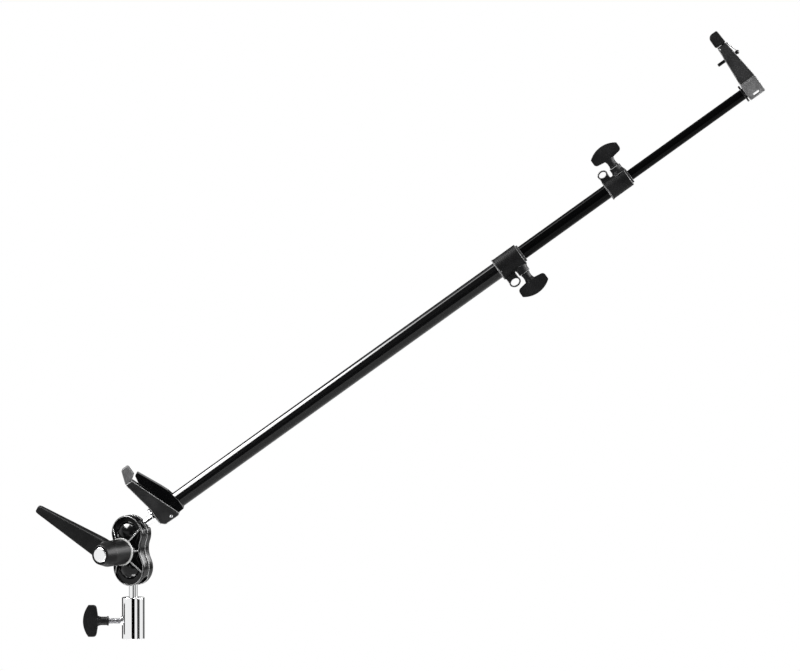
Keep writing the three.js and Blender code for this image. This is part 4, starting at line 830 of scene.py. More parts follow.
def grown(kind, finish, **settings):
    """The plain mesh that a tree makes with the inputs given."""
    tree = built(TREE_MAKERS, kind)
    piece = bpy.data.objects.new(kind, bpy.data.meshes.new(kind))
    bpy.context.scene.collection.objects.link(piece)
    modifier = piece.modifiers.new("Grown", "NODES")
    modifier.node_group = tree
    given = titled(settings) | {"Material": FINISHES[finish]}
    for socket in tree.interface.items_tree:
        if socket.in_out == "INPUT" and socket.name in given:
            modifier[socket.identifier] = given[socket.name]
    return evaluated(piece)


def make_finishes(colours):
    bare, edge_highlight_and_wear = bare_metal, colours.edge_highlight_and_wear
    FINISHES["chrome"] = bare("Bright chrome", colours.chrome, 0.05, UPRIGHT_TURN, 0.0000005, 0.01, 700.0)
    FINISHES["steel"] = bare("Plain steel", colours.steel, 0.28, ARM_TURN)
    FINISHES["screw"] = bare("Screw steel", colours.screw, 0.34, ARM_TURN)
    FINISHES["brass"] = bare("Machined brass", colours.brass, 0.3, ARM_TURN, spread=0.1)
    # Enamel: the light grey edge colour at a high amount, painted highlight lines along the head's ribs and
    # rims.
    FINISHES["enamel"] = coated(
        "Gloss black enamel", colours.enamel, 0.14, grain=900.0, depth=0.00002, edge_highlight_and_wear=edge_highlight_and_wear, wear=0.9,
        specular=0.22,
    )
    FINISHES["gloss_moulding"] = coated(
        "Gloss black moulding", colours.enamel, 0.14, grain=1500.0, depth=0.00001, spread=0.04, wear=0.1,
        specular=0.22,
    )
    FINISHES["moulding"] = coated(
        "Satin black moulding", colours.moulding, 0.38, grain=2600.0, depth=0.000006, wear=0.1, specular=0.08
    )
    # Collar casting: the light grey edge colour at a high amount, painted highlight lines along its edges.
    FINISHES["black_casting"] = coated(
        "Satin black casting", colours.casting, 0.42, grain=1600.0, depth=0.000004, edge_highlight_and_wear=edge_highlight_and_wear, wear=0.7,
        specular=0.07,
    )
    # Powder coat: the light grey edge colour at a high amount, painted highlight lines along the clips'
    # edges.
    FINISHES["powder"] = coated(
        "Dark powder coat", colours.powder, 0.38, grain=1800.0, depth=0.00001, edge_highlight_and_wear=edge_highlight_and_wear, wear=0.9,
        specular=0.1,
    )
    FINISHES["cast"] = coated("Grey casting", colours.cast, 0.42, grain=1500.0, wear=0.5, specular=0.15)
    FINISHES["pad"] = coated("Grey rubber", colours.pad, 0.7, grain=2400.0, wear=0.3, specular=0.2)
    FINISHES["nylon"] = coated("White nylon", colours.nylon, 0.38, grain=2000.0, edge_highlight_and_wear=colours.nylon)
    FINISHES["tube"] = anodised("Black anodised tube", colours.tube, 0.08, 0.24)
    FINISHES["inner_tube"] = anodised("Black anodised inner tube", colours.inner_tube, 0.12, 0.06)


# Stand socket with its post
BALL_BORE_SHARE = 0.3
TAPPED_RADIUS = 0.004


def make_stand_socket(sizes):
    """The socket with its tapped boss, and the lower ball's post in its end."""
    outer, bore, edge = sizes.diameter / 2, sizes.bore / 2, sizes.edge
    seat = sizes.post / 2 + GAP
    seat_floor = sizes.height - sizes.post_seat
    body = lathe("sleeve", [
        (0, sizes.bore_depth, 0), (bore, sizes.bore_depth, edge / 4), (bore, edge, edge / 4),
        (bore + edge, 0, edge / 4), (outer, 0, edge), (outer, sizes.height, edge),
        (seat + edge / 2, sizes.height, edge / 4), (seat, sizes.height - edge / 2, edge / 4),
        (seat, seat_floor, 0), (0, seat_floor, 0),
    ])
    boss = bar("boss", sizes.boss, (bore + outer) / 2, outer + sizes.boss_rise, MEDIUM, edge / 3)
    hole = bar("hole", TAPPED_RADIUS + GAP, 0, outer + OVERRUN, MEDIUM)
    body = cut(joined(body, placed(boss, SOCKET_HANDLE)), placed(hole, SOCKET_HANDLE))
    settled(body, "stand_socket", "chrome", STAND)

    foot = seat_floor + GAP
    top = LOWER_BALL.z + sizes.ball * BALL_BORE_SHARE / 2 - GAP
    settled(bar("post", sizes.post / 2, foot, top, FINE, edge / 3), "lower_stem", "chrome", STAND)


def make_ball(sizes, node, matrix):
    """A ball with a blind bore for its post, opening towards -Z."""
    radius, bore = sizes.ball / 2, sizes.post / 2 + GAP
    floor = radius * BALL_BORE_SHARE
    mouth = -math.acos(bore / radius)
    profile = [(0, floor), (bore, floor)] + arc((0, 0), radius, mouth, math.pi / 2, FINE // 3)
    profile[-1] = (0, radius)
    settled(turned("ball", profile), node, "steel", matrix)


# T-handles, each along +Z of its own frame with its wings along X
STEM_COLLAR = (0.0007, 0.0022)
SKIRT_DEPTH = 0.004
SKIRT_SPREAD = 0.0006
SKIRT_CORNER = 0.002
WING_EDGE = 0.0018
# The wing's lower corner, as a share of its height at the end
WING_CORNER_SHARE = 0.44
WING_TOP_CORNER = 0.0015
CROWN_STEPS = 16
COLLAR_STEM = 0.012
SOCKET_STEM = 0.015
SOCKET_STUD_SHOWN = 0.017


def handle_outline(sizes, start):
    """Side view of the wings from where the stem ends."""
    side = start + sizes.flare
    end = side + sizes.end_height
    rise = sizes.crown
    crown = end + rise
    span, corner = sizes.half_span, sizes.end_height * WING_CORNER_SHARE
    radius = (span * span + rise * rise) / (2 * rise)
    sweep = math.asin(span / radius)
    top = arc((0, crown - radius), radius, math.pi / 2 - sweep, math.pi / 2 + sweep, CROWN_STEPS)
    right = rounded([
        (sizes.stem, start, 0.001), (span, side, corner), (span, end, WING_TOP_CORNER), (0, crown, 0)
    ])
    half = [p for p in right if p.x > sizes.stem * 0.9 and p.y < end - 0.001]
    return half + top + [Vector((-p.x, p.y)) for p in reversed(half)]


def make_handle(sizes, node, matrix, stem_start, stem_length):
    """The handle moulding: wings on a stem with a skirt and a collar, and a blind hole for its stud."""
    start = stem_start + stem_length
    side = start + sizes.flare
    collar_rise, collar_height = STEM_COLLAR
    wings = slab("wings", handle_outline(sizes, start), sizes.width, WING_EDGE)
    stem = bar("stem", sizes.stem, stem_start, side + sizes.end_height / 2, MEDIUM, 0.0008)
    skirt_foot = start - SKIRT_DEPTH
    skirt_points = [
        (0, skirt_foot, 0), (sizes.stem, skirt_foot, 0), (sizes.width / 2 + SKIRT_SPREAD, side), (0, side, 0)
    ]
    skirt = lathe("skirt", skirt_points, MEDIUM, SKIRT_CORNER)
    collar = bar("collar", sizes.stem + collar_rise, stem_start, stem_start + collar_height, MEDIUM, 0.0005)
    grip = bar("grip", sizes.stud / 2 + GAP, stem_start - OVERRUN, stem_start + sizes.grip, MEDIUM)
    handle = cut(joined(wings, stem, skirt, collar), grip)
    settled(softened(handle, *HANDLE_SKIN), node, "moulding", matrix)


def make_screw(name, matrix, tip, stem_start, stem_length):
    """A T-handle with its threaded stud, which runs from its tip to the bottom of the handle's hole."""
    sizes = sizes_of("handle")
    end = stem_start + sizes.grip - GAP
    stud = grown(
        "thread", "screw", radius=sizes.stud / 2, pitch=sizes.pitch, depth=sizes.thread_depth,
        length=end - tip,
    )
    settled(shifted(stud, z=tip), name + "_stud", "screw", matrix)
    make_handle(sizes, name + "_knob", matrix, stem_start, stem_length)


def make_socket_handle(sizes):
    stem_start = sizes.diameter / 2 + sizes.boss_rise + SOCKET_STUD_SHOWN
    make_screw("socket", SOCKET_HANDLE, sizes.bore / 2 + GAP, stem_start, SOCKET_STEM)


def gathered(piece, *others):
    """Several closed bodies kept together as one mesh."""
    mesh = bmesh.new()
    for part in (piece, *others):
        mesh.from_mesh(part.data)
    mesh.to_mesh(piece.data)
    mesh.free()
    for part in others:
        bpy.data.objects.remove(part)
    return piece


def globe(radius, centre):
    profile = arc((0, 0), radius, -math.pi / 2, math.pi / 2, FINE // 2)
    profile[0], profile[-1] = (0, -radius), (0, radius)
    return placed(turned("globe", profile), Matrix.Translation(centre))


# Double ball head. A half shell is made lying flat: split plane down, balls along Y, bolt along +Z
RIB_SPREAD = math.radians(53.7)
SHELL_STEPS = 9
WAIST_STEPS = 16
LOBE_STEPS = 60
SWEEP_STEPS = 48
BOLT_RADIUS = 0.004
BOLT_HEAD_RADIUS = 0.0075
BOLT_HEAD_HEIGHT = 0.0053
BOLT_REACH = 0.044
SPRING_RADIUS = 0.0061
SPRING_WIRE = 0.0016
SPRING_TURNS = 4.0
SPRING_POCKET = 0.007
TILT_PLAY = 0.001
WASHER_THICKNESS = 0.002


def peanut(sizes, inset=0.0):
    """Outline of the head: two round lobes joined by hollow waists."""
    half = BALL_SPACING / 2
    lobe, waist = sizes.lobe - inset, sizes.waist - inset
    hollow = (half**2 + waist**2 - lobe**2) / (2 * (lobe - waist))
    centre = waist + hollow
    angle = math.atan2(half, centre)
    outline = arc((centre, 0), hollow, math.pi + angle, math.pi - angle, WAIST_STEPS)[:-1]
    outline += arc((0, half), lobe, -angle, math.pi + angle, LOBE_STEPS)[:-1]
    outline += arc((-centre, 0), hollow, angle, -angle, WAIST_STEPS)[:-1]
    outline += arc((0, -half), lobe, math.pi - angle, 2 * math.pi + angle, LOBE_STEPS)[:-1]
    return outline


def shell_blank(sizes):
    """The shell's outside: a straight wall that rounds over towards the ribbed face."""
    wall_top = sizes.split / 2 + sizes.wall_height
    rings = [[(p.x, p.y, sizes.split / 2) for p in peanut(sizes)]]
    for k in range(SHELL_STEPS + 1):
        turn = math.pi / 2 * k / SHELL_STEPS
        inset = sizes.rounding * (1 - math.cos(turn))
        rings.append([(p.x, p.y, wall_top + sizes.rounding * math.sin(turn)) for p in peanut(sizes, inset)])
    return loft("blank", rings)


def rib_roof(sizes, boss_radius, top):
    """A roof from the shell's rim up to its boss, under which the ribs end."""
    outline = peanut(sizes, sizes.rim / 2)
    rim_level = sizes.split / 2 + sizes.wall_height + sizes.rounding / 2
    rings = [[(p.x, p.y, level) for p in outline] for level in (0.0, rim_level)]
    crown = [p.normalized() * boss_radius for p in outline]
    return loft("roof", rings + [[(p.x, p.y, top) for p in crown]])


def half_shell(sizes, boss_radius, boss_level):
    split, ball = sizes.split / 2, sizes_of("socket").ball / 2

    def globes(radius):
        return [globe(radius, (0, side * BALL_SPACING / 2, 0)) for side in (1, -1)]

    shell_top = split + sizes.wall_height + sizes.rounding
    pockets = prism("pockets", peanut(sizes, sizes.rim), sizes.floor, shell_top + OVERRUN)
    blank = cut(shell_blank(sizes), pockets)
    bars = grown(
        "ribs", "enamel", bars=sizes.ribs / 2, angle=RIB_SPREAD, span=4 * sizes.lobe, width=sizes.rib,
        foot=split, top=boss_level,
    )
    ribs = common(bars, rib_roof(sizes, boss_radius, boss_level - sizes.rib))
    limit = prism("limit", peanut(sizes, sizes.rim / 2), split, boss_level)
    inside = common(joined(*globes(ball + sizes.cup_wall), ribs), limit)
    cast = joined(blank, inside, bar("boss", boss_radius, split, boss_level, FINE, 0.0008))
    bore = bar("bore", BOLT_RADIUS + GAP, -OVERRUN, boss_level + OVERRUN, MEDIUM)
    pocket = bar("pocket", SPRING_RADIUS + SPRING_WIRE / 2 + 2 * GAP, -OVERRUN, split + SPRING_POCKET, MEDIUM)
    return cut(cast, *globes(ball + 2 * GAP), bore, pocket)


def partly_turned(profile, start, end):
    """A closed profile of (radius, height) points turned about Z over part of a circle."""
    rings = []
    for k in range(SWEEP_STEPS + 1):
        angle = start + (end - start) * k / SWEEP_STEPS
        rings.append([(r * math.cos(angle), r * math.sin(angle), level) for r, level in profile])
    return loft("sweep", rings)


def tilt_slot(way, centre, down, up):
    """The room that a ball's post sweeps as it tilts about the bolt, in the front shell's frame."""
    post = sizes_of("socket").post / 2 + TILT_PLAY
    rise = math.atan2(way.z, math.hypot(way.x, way.y))
    rest = math.atan2(way.y, way.x)
    profile = [
        (along * math.cos(rise) - aside * math.sin(rise), along * math.sin(rise) + aside * math.cos(rise))
        for along, aside in ((post, -post), (BALL_SPACING, -post), (BALL_SPACING, post), (post, post))
    ]
    start, end = rest - math.radians(down), rest + math.radians(up)
    lie = Matrix.Rotation(math.pi / 2 - rise, 4, "Y")
    ends = [
        placed(bar("end", post, 0, BALL_SPACING, MEDIUM), Matrix.Rotation(angle, 4, "Z") @ lie)
        for angle in (start, end)
    ]
    return placed(joined(partly_turned(profile, start, end), *ends), Matrix.Translation(centre))


def tilt_slots():
    """Both posts' room, from how far down and up their hinges turn."""
    to_head = HEAD_FRONT.to_3x3().inverted()
    half = BALL_SPACING / 2
    lower = JOINTS["lower_ball_tilt"]["range_deg"]
    upper = JOINTS["upper_ball_tilt"]["range_deg"]
    return [
        tilt_slot(to_head @ Vector((0, 0, -1)), (0, -half, 0), lower[1], -lower[0]),
        tilt_slot(to_head @ ARM_WAY, (0, half, 0), -upper[0], upper[1]),
    ]


def make_shells(sizes):
    """The front half shell, and the rear one with a pocket for the bolt's head."""
    front = cut(half_shell(sizes, sizes.front_boss_radius, sizes.front_boss), *tilt_slots())
    soft_settled(front, "head_shell_front", "enamel", HEAD_FRONT)
    floor = sizes.rear_boss - BOLT_HEAD_HEIGHT
    pocket = hex_bar(BOLT_HEAD_RADIUS + 2 * GAP, floor, sizes.rear_boss + OVERRUN)
    to_rear = HEAD_REAR.inverted() @ HEAD_FRONT
    slots = [placed(slot, to_rear) for slot in tilt_slots()]
    rear = cut(half_shell(sizes, sizes.rear_boss_radius, sizes.rear_boss), pocket, *slots)
    soft_settled(rear, "head_shell_rear", "enamel", HEAD_REAR)


def hex_bar(radius, start, end):
    return placed(bar("hex", radius, start, end, 6), Matrix.Rotation(math.pi / 6, 4, "Z"))


def make_bolt(sizes):
    """The clamp bolt, the spring between the shells and the washer under the lever."""
    foot = GAP - sizes.rear_boss
    end = sizes.front_boss + BOLT_REACH
    plain = sizes.front_boss + BOLT_REACH / 3
    head = bevelled(hex_bar(BOLT_HEAD_RADIUS, foot, foot + BOLT_HEAD_HEIGHT - 2 * GAP), 0.0004)
    shank = bar("shank", BOLT_RADIUS, foot, plain, MEDIUM)
    handle = sizes_of("handle")
    thread = grown(
        "thread", "steel", radius=BOLT_RADIUS, pitch=handle.pitch, depth=handle.thread_depth,
        length=end - plain,
    )
    settled(gathered(joined(head, shank), shifted(thread, z=plain)), "clamp_bolt", "steel", HEAD_FRONT)

    reach = sizes.split / 2 + SPRING_POCKET - GAP
    spring = grown(
        "coil", "steel", mean_radius=SPRING_RADIUS, wire=SPRING_WIRE, length=2 * reach, turns=SPRING_TURNS
    )
    settled(shifted(spring, z=-reach), "head_spring", "steel", HEAD_FRONT)

    foot = sizes.front_boss + GAP
    washer = sleeve("washer", BOLT_RADIUS + GAP, sizes.washer, foot, foot + WASHER_THICKNESS, FINE, 0.0005)
    settled(washer, "thrust_washer", "nylon", HEAD_FRONT)


# Clamp lever: a cone hub with a flat blade, a brass insert and a plated cap
INSERT_RADIUS = 0.0087
INSERT_LENGTH = 0.02
INSERT_RECESS = 0.0015
CAP_RADIUS = 0.0103
CAP_THICKNESS = 0.0022
CAP_PLUG = 0.005
CAP_CROWN = 0.001
HUB_STRAIGHT = 0.035
HUB_END_RADIUS = 0.0132
LEVER_LEVEL = 0.0267
LEVER_ANGLE = math.radians(145.3)
LEVER_CANT = math.radians(15)
# The blade's sections: distance from the bolt, width and thickness
BLADE = (
    (0, 0.029, 0.017), (0.018, 0.029, 0.017), (0.045, 0.0245, 0.0147), (0.08, 0.0185, 0.0117),
    (0.108, 0.0138, 0.0092), (0.117, 0.0122, 0.0083), (0.1205, 0.0108, 0.0072), (0.122, 0.0082, 0.005),
)
BLADE_CORNER = 0.27
CORNER_STEPS = 6


def rounded_section(distance, width, thickness, corner):
    """A rounded rectangle across +X at a distance along it."""
    ring = []
    for sx, sy, quarter in ((1, 1, 0), (-1, 1, 1), (-1, -1, 2), (1, -1, 3)):
        for k in range(CORNER_STEPS + 1):
            angle = math.pi / 2 * (quarter + k / CORNER_STEPS)
            y = sx * (width / 2 - corner) + corner * math.cos(angle)
            z = sy * (thickness / 2 - corner) + corner * math.sin(angle)
            ring.append((distance, y, z))
    return ring


def make_lever(sizes):
    """The lever, the threaded insert it turns on and the cap over its hub."""
    foot = sizes.front_boss + 2 * GAP + WASHER_THICKNESS
    end = foot + sizes.hub_length
    core, recess = INSERT_RADIUS + GAP, end - CAP_THICKNESS
    hub = lathe("hub", [
        (core, foot, 0.0004), (sizes.hub, foot, 0.0015), (sizes.hub, foot + HUB_STRAIGHT, 0.006),
        (HUB_END_RADIUS + 0.0005, end - 0.001, 0.001), (HUB_END_RADIUS - 0.0002, end, 0.0004),
        (CAP_RADIUS + GAP, end, 0.0003), (CAP_RADIUS + GAP, recess, 0), (core, recess, 0.0002),
    ])
    stretch = sizes.lever_length / BLADE[-1][0]
    rings = [rounded_section(x * stretch, width, deep, deep * BLADE_CORNER) for x, width, deep in BLADE]
    turn = Matrix.Rotation(LEVER_ANGLE, 4, "Z") @ Matrix.Rotation(-LEVER_CANT, 4, "Y")
    blade = placed(loft("blade", rings), Matrix.Translation((0, 0, foot + LEVER_LEVEL)) @ turn)
    blade = cut(blade, bar("core", sizes.hub - 0.0015, foot, end + 0.03))
    soft_settled(joined(hub, blade), "clamp_lever", "moulding", HEAD_FRONT)

    start = foot + INSERT_RECESS
    insert = sleeve("insert", BOLT_RADIUS + GAP, INSERT_RADIUS, start, start + INSERT_LENGTH, MEDIUM, 0.0004)
    settled(insert, "lever_insert", "brass", HEAD_FRONT)

    foot = recess + GAP
    crown = end + CAP_CROWN
    cap = lathe("cap", [
        (0, foot - CAP_PLUG, 0), (INSERT_RADIUS, foot - CAP_PLUG, 0.0006), (INSERT_RADIUS, foot, 0.0002),
        (CAP_RADIUS, foot, 0.0002), (CAP_RADIUS, end, 0.0008), (CAP_RADIUS - CAP_CROWN, crown, 0.001),
        (CAP_RADIUS * 0.55, crown + GAP * 0.7, 0.004), (0.0, crown + GAP, 0),
    ])
    settled(cap, "lever_cap", "chrome", HEAD_FRONT, CAP_SHARP_ANGLE)


# Lower clip: the post's flange carries a two-cheek bracket, a tip pad and a sprung channel jaw
CLIP_SPIGOT = 0.004
CLIP_SPIGOT_LENGTH = 0.012
CLIP_BLOCK = 0.008
CLIP_SPRING_WIRE = 0.0009
CLIP_SPRING_TURNS = 7.0
PLUG_REACH = 0.030
PIN_BOSS = 0.0022
# Heights of the jaw's shoulder, of the foot of its web and of its thumb lip
JAW_SHOULDER_HEIGHT = 0.030
JAW_WEB_HEIGHT = 0.019
JAW_LIP_DROP = 0.014
# Where each tube starts and ends along the arm
TUBE_ENDS = {"lower": (0.066, 0.648), "middle": (0.270, 0.836), "upper": (0.490, 1.062)}


def make_upper_post(sizes):
    socket = sizes_of("socket")
    radius, flange, flange_foot = socket.post / 2, sizes.flange / 2, sizes.flange_station
    ball_end = GAP - socket.ball * BALL_BORE_SHARE / 2
    flange_end = flange_foot + sizes.flange_thickness
    spigot_end = flange_end + CLIP_SPIGOT_LENGTH
    post = lathe("post", [
        (0, ball_end, 0), (radius, ball_end, 0.0004), (radius, flange_foot, 0.0008),
        (flange, flange_foot, 0.0009), (flange, flange_end, 0.0009), (CLIP_SPIGOT, flange_end, 0.0003),
        (CLIP_SPIGOT, spigot_end, 0.0006), (0, spigot_end, 0),
    ])
    settled(along_arm(post), "upper_stem", "chrome")


def clip_edges(sizes):
    """The bracket's back, and its front and back edges as stations at a height."""
    back = sizes.flange_station + sizes.flange_thickness + GAP
    slope = (sizes.front - sizes.top_front) / (sizes.bottom + sizes.top)

    def front_at(height):
        return sizes.front - slope * (height + sizes.bottom)

    def back_at(height):
        return back + (sizes.top_back - back) * (height - sizes.seat) / (sizes.top - sizes.seat)

    return back, front_at, back_at


def at_hinge(sizes, piece):
    return across_arm(piece, sizes.hinge_station, -sizes.hinge_drop)


def hinge_bar(sizes, radius, half):
    return at_hinge(sizes, bar("hinge", radius, -half, half, MEDIUM))


def make_lower_clip_body(sizes):
    """The bracket, bored for the post's spigot, with the plug that carries the lower tube."""
    back, front_at, back_at = clip_edges(sizes)
    tubes = sizes_of("tube")
    half, cheek, web = sizes.width / 2, sizes.cheek, sizes.web
    side = rounded([
        (back, -sizes.heel, 0.003), (back + web, GAP - sizes.bottom, 0.003),
        (sizes.front, -sizes.bottom, 0.003), (sizes.top_front, sizes.top, 0.0008),
        (sizes.top_back, sizes.top, 0.0008), (back, sizes.seat, 0.006),
    ])
    block_front = back + CLIP_SPIGOT_LENGTH
    ceiling, seat_top = sizes.top - CLIP_BLOCK, tubes.lower / 2
    under, beyond = -sizes.bottom - OVERRUN, sizes.front + OVERRUN
    inside = rounded([
        (block_front, under, 0), (beyond, under, 0), (beyond, seat_top, 0),
        (front_at(ceiling) + OVERRUN, ceiling, 0), (back_at(ceiling) + web, ceiling, 0.002),
        (back_at(seat_top) + web, seat_top, 0.003), (block_front, seat_top, 0.002),
    ])
    bracket = slab("bracket", side, sizes.width, 0.0007)
    bracket = cut(bracket, slab("inside", inside, sizes.width - 2 * cheek))
    plug_radius = tubes.lower / 2 - tubes.wall - GAP
    plug_end = TUBE_ENDS["lower"][0] + PLUG_REACH
    plug = along_arm(bar("plug", plug_radius, block_front - web, plug_end, FINE, 0.0008))
    spring_clear = CLIP_SPRING_WIRE + sizes.hinge / 2 + 3 * GAP
    plug = cut(plug, hinge_bar(sizes, spring_clear + GAP, half - cheek))
    spigot = along_arm(bar("spigot", CLIP_SPIGOT + GAP, sizes.flange_station, block_front, MEDIUM))
    bosses = []
    for turn in (0, math.pi):
        boss = bar("boss", sizes.hinge / 2 + PIN_BOSS, half - cheek, half, MEDIUM, 0.0003)
        bosses.append(at_hinge(sizes, placed(boss, Matrix.Rotation(turn, 4, "X"))))
    body = cut(joined(bracket, plug, *bosses), spigot, hinge_bar(sizes, sizes.hinge / 2 + GAP, sizes.width))
    soft_settled(body, "lower_clip_body", "powder")


def make_lower_clip_tip(sizes):
    """The tip pad, and the hinge pin with its spring."""
    foot = sizes.top + GAP
    top, bulge = foot + sizes.tip_height, sizes.top_front + sizes.tip_bulge
    outline = rounded([
        (sizes.top_back, foot, 0.0006), (sizes.top_front, foot, 0.0006),
        (bulge, foot + sizes.tip_height / 4, 0.003), (bulge, top, 0.003),
        (bulge - sizes.tip_length, top, 0.003),
    ])
    soft_settled(slab("tip", outline, sizes.width - 2 * sizes.cheek, 0.001), "lower_clip_tip", "pad")

    half = sizes.width / 2 + GAP
    pin = bar("pin", sizes.hinge / 2, -half, half, SMALL, 0.0003)
    settled(at_hinge(sizes, pin), "lower_clip_pin", "steel")
    reach = sizes_of("tube").lower / 2 - 2 * GAP
    spring = grown(
        "coil", "steel", mean_radius=sizes.hinge / 2 + 3 * GAP + CLIP_SPRING_WIRE / 2, wire=CLIP_SPRING_WIRE,
        length=2 * reach, turns=CLIP_SPRING_TURNS,
    )
    settled(at_hinge(sizes, shifted(spring, z=-reach)), "lower_clip_spring", "steel")


def make_lower_clip_jaw(sizes):
    """The jaw: a channel of sheet between the bracket's cheeks."""
    _, front_at, _ = clip_edges(sizes)
    sheet, lip, shoulder = sizes.jaw_sheet, sizes.jaw_lip, sizes.jaw_shoulder
    width = sizes.width - 2 * (sizes.cheek + 2 * GAP)
    tip_front = sizes.top_front + sizes.tip_bulge + GAP
    jaw_top, ceiling = sizes.top + sizes.jaw_rise, sizes.top - CLIP_BLOCK
    heel = sizes.hinge_station - sizes.hinge
    web_start = shoulder + 2 * sheet
    side = rounded([
        (heel, -sizes.hinge_drop - sizes.hinge, 0.0028), (lip, -JAW_LIP_DROP, 0.002), (lip, 0, 0.004),
        (web_start, JAW_WEB_HEIGHT, 0.008), (shoulder, JAW_SHOULDER_HEIGHT, 0.008),
        (sizes.jaw_top, jaw_top, 0.0012), (tip_front, jaw_top - sheet, 0.0006),
        (front_at(ceiling) + sheet, ceiling, 0.002), (front_at(JAW_WEB_HEIGHT), JAW_WEB_HEIGHT, 0.006),
        (heel, 0, 0.0028),
    ])
    under, beyond = -sizes.bottom - OVERRUN, lip + OVERRUN
    channel = rounded([
        (heel - OVERRUN, under, 0), (beyond, under, 0), (beyond, JAW_WEB_HEIGHT - sheet, 0),
        (web_start - sheet, JAW_WEB_HEIGHT, 0.004), (shoulder - sheet, JAW_SHOULDER_HEIGHT - GAP, 0.006),
        (sizes.jaw_top - sheet, jaw_top - 2 * sheet, 0), (sizes.top_back, jaw_top - 2 * sheet, 0),
    ])
    jaw = cut(slab("jaw", side, width, 0.0007), slab("channel", channel, width - 2 * sheet))
    jaw = cut(jaw, hinge_bar(sizes, sizes.hinge / 2 + GAP, sizes.width))
    soft_settled(jaw, "lower_clip_jaw", "gloss_moulding")


def make_tubes(sizes):
    """The telescopic tubes, each an open sleeve with its cut ends broken."""
    for name, finish in (("lower", "tube"), ("middle", "inner_tube"), ("upper", "inner_tube")):
        outer = getattr(sizes, name) / 2
        tube = sleeve("tube", outer - sizes.wall, outer, *TUBE_ENDS[name], FINE, sizes.rim)
        settled(along_arm(tube), name + "_tube", finish)


# Telescopic joints. Each collar is made with its knob along +Z and turned over where it points down.
# An eyelet is given by its station, its height over the axis, its length and its own height
COLLARS = {
    "lower": {
        "start": 0.632, "length": 0.039, "diameter": 0.032, "eyelet": (0.642, 0.0275, 0.0125, 0.009),
        "tubes": ("lower", "middle"), "station": LOWER_KNOB_STATION, "handle": LOWER_HANDLE,
        "upright": ARM @ Matrix.Rotation(math.pi, 4, "X"),
    },
    "upper": {
        "start": 0.821, "length": 0.036, "diameter": 0.0275, "eyelet": (0.8286, 0.0227, 0.0105, 0.0075),
        "tubes": ("middle", "upper"), "station": UPPER_KNOB_STATION, "handle": UPPER_HANDLE, "upright": ARM,
    },
}
SUNK = 0.0008
EYELET_STEPS = 48
FOOT_SPREAD = 0.002
FOOT_HEIGHT = 0.003
FOOT_CORNER = 0.002
LIP_SLOPE = 0.0006
# How far the eyelet's neck covers its wall to each side, and how far up its hole the neck ends
NECK_SPREAD = 0.7
NECK_TOP = 0.2


def ellipse(station, height, across, rise):
    angles = [2 * math.pi * i / EYELET_STEPS for i in range(EYELET_STEPS)]
    return [Vector((station + across / 2 * math.cos(a), height + rise / 2 * math.sin(a))) for a in angles]


def eyelet(sizes, spec, sunk):
    """The flat lug with its neck down to the collar, and the hole through it."""
    station, height, across, rise = spec["eyelet"]
    wall, thick = sizes.eyelet_wall, sizes.eyelet
    lug = slab("lug", ellipse(station, height, across + 2 * wall, rise + 2 * wall), thick, 0.0007)
    half, top = across / 2 + wall * NECK_SPREAD, height - rise * NECK_TOP
    neck = rounded([
        (station - half, sunk, 0), (station + half, sunk, 0), (station + half, top, 0.001),
        (station - half, top, 0.001),
    ])
    hole = slab("eye", ellipse(station, height, across, rise), 3 * thick)
    return lug, slab("neck", neck, thick, 0.0005), hole


def make_collar(sizes, name):
    """A clamp collar with its bush, its brake pad and its T-handle."""
    spec = COLLARS[name]
    outer_tube, inner_tube = (getattr(sizes_of("tube"), tube) for tube in spec["tubes"])
    station, upright = spec["station"], spec["upright"]
    start, end = spec["start"], spec["start"] + spec["length"]
    outer, socket = spec["diameter"] / 2, outer_tube / 2 + GAP
    sunk, boss_top = socket + SUNK, outer + sizes.boss_rise
    lip, lip_end = outer + sizes.lip / 2, start + sizes.lip
    ring = along_arm(lathe("ring", [
        (socket, start, 0.0003), (lip, start, 0.0005), (lip, lip_end, 0.0005),
        (outer, lip_end + LIP_SLOPE, 0.0006), (outer, end, 0.0009), (socket, end, 0.0003),
    ]))
    boss = shifted(bar("boss", sizes.boss, sunk, boss_top, MEDIUM, 0.0008), x=station)
    foot_top = outer + FOOT_HEIGHT
    foot_points = [
        (0, sunk, 0), (sizes.boss + FOOT_SPREAD, sunk, 0), (sizes.boss, foot_top), (0, foot_top, 0)
    ]
    foot = shifted(lathe("foot", foot_points, MEDIUM, FOOT_CORNER), x=station)
    lug, neck, hole = eyelet(sizes, spec, sunk)
    tube_hole = along_arm(bar("bore", socket, start - OVERRUN, end + OVERRUN))
    stud_hole = bar("stud hole", sizes.stud_hole / 2 + GAP, 0, boss_top + OVERRUN, MEDIUM)
    collar = cut(joined(ring, boss, foot, lug, neck), tube_hole, shifted(stud_hole, x=station), hole)
    soft_settled(collar, name + "_collar", "black_casting", upright)

    inner, bush_outer = inner_tube / 2 + GAP, inner_tube / 2 + GAP + sizes.bush_wall
    foot, flange_foot = TUBE_ENDS[spec["tubes"][0]][1] + GAP, end + GAP
    flange = flange_foot + sizes.bush_flange
    bush = lathe("bush", [
        (inner, foot, 0.0003), (bush_outer, foot, 0.0003), (bush_outer, flange_foot, 0.0002),
        (sunk, flange_foot, 0.0004), (sunk, flange, 0.0006), (inner, flange, 0.0003),
    ])
    settled(along_arm(bush), name + "_bush", "black_casting")

    pad_foot = bush_outer + GAP
    pad_top = pad_foot + sizes.pad
    pad = shifted(bar("pad", sizes.stud_hole / 2, 0, pad_top, MEDIUM, 0.0003), x=station)
    pad = cut(pad, along_arm(bar("seat", pad_foot, start, end)))
    settled(pad, name + "_brake_pad", "brass", upright)
    make_screw(name, spec["handle"], pad_top + GAP, boss_top + GAP, COLLAR_STEM)


# Upper clip: a cast block on the tube, a tapered body, a cap, a sprung flap and a plunger with its leaf
SLOT_TUBE_SEAT = 0.009
SLOT_STEPS = 12
BLOCK_CORNER = 0.0012
BOW_STEPS = 10
PLUNGER_EDGE = 0.0012
PLUNGER_STEPS = 16


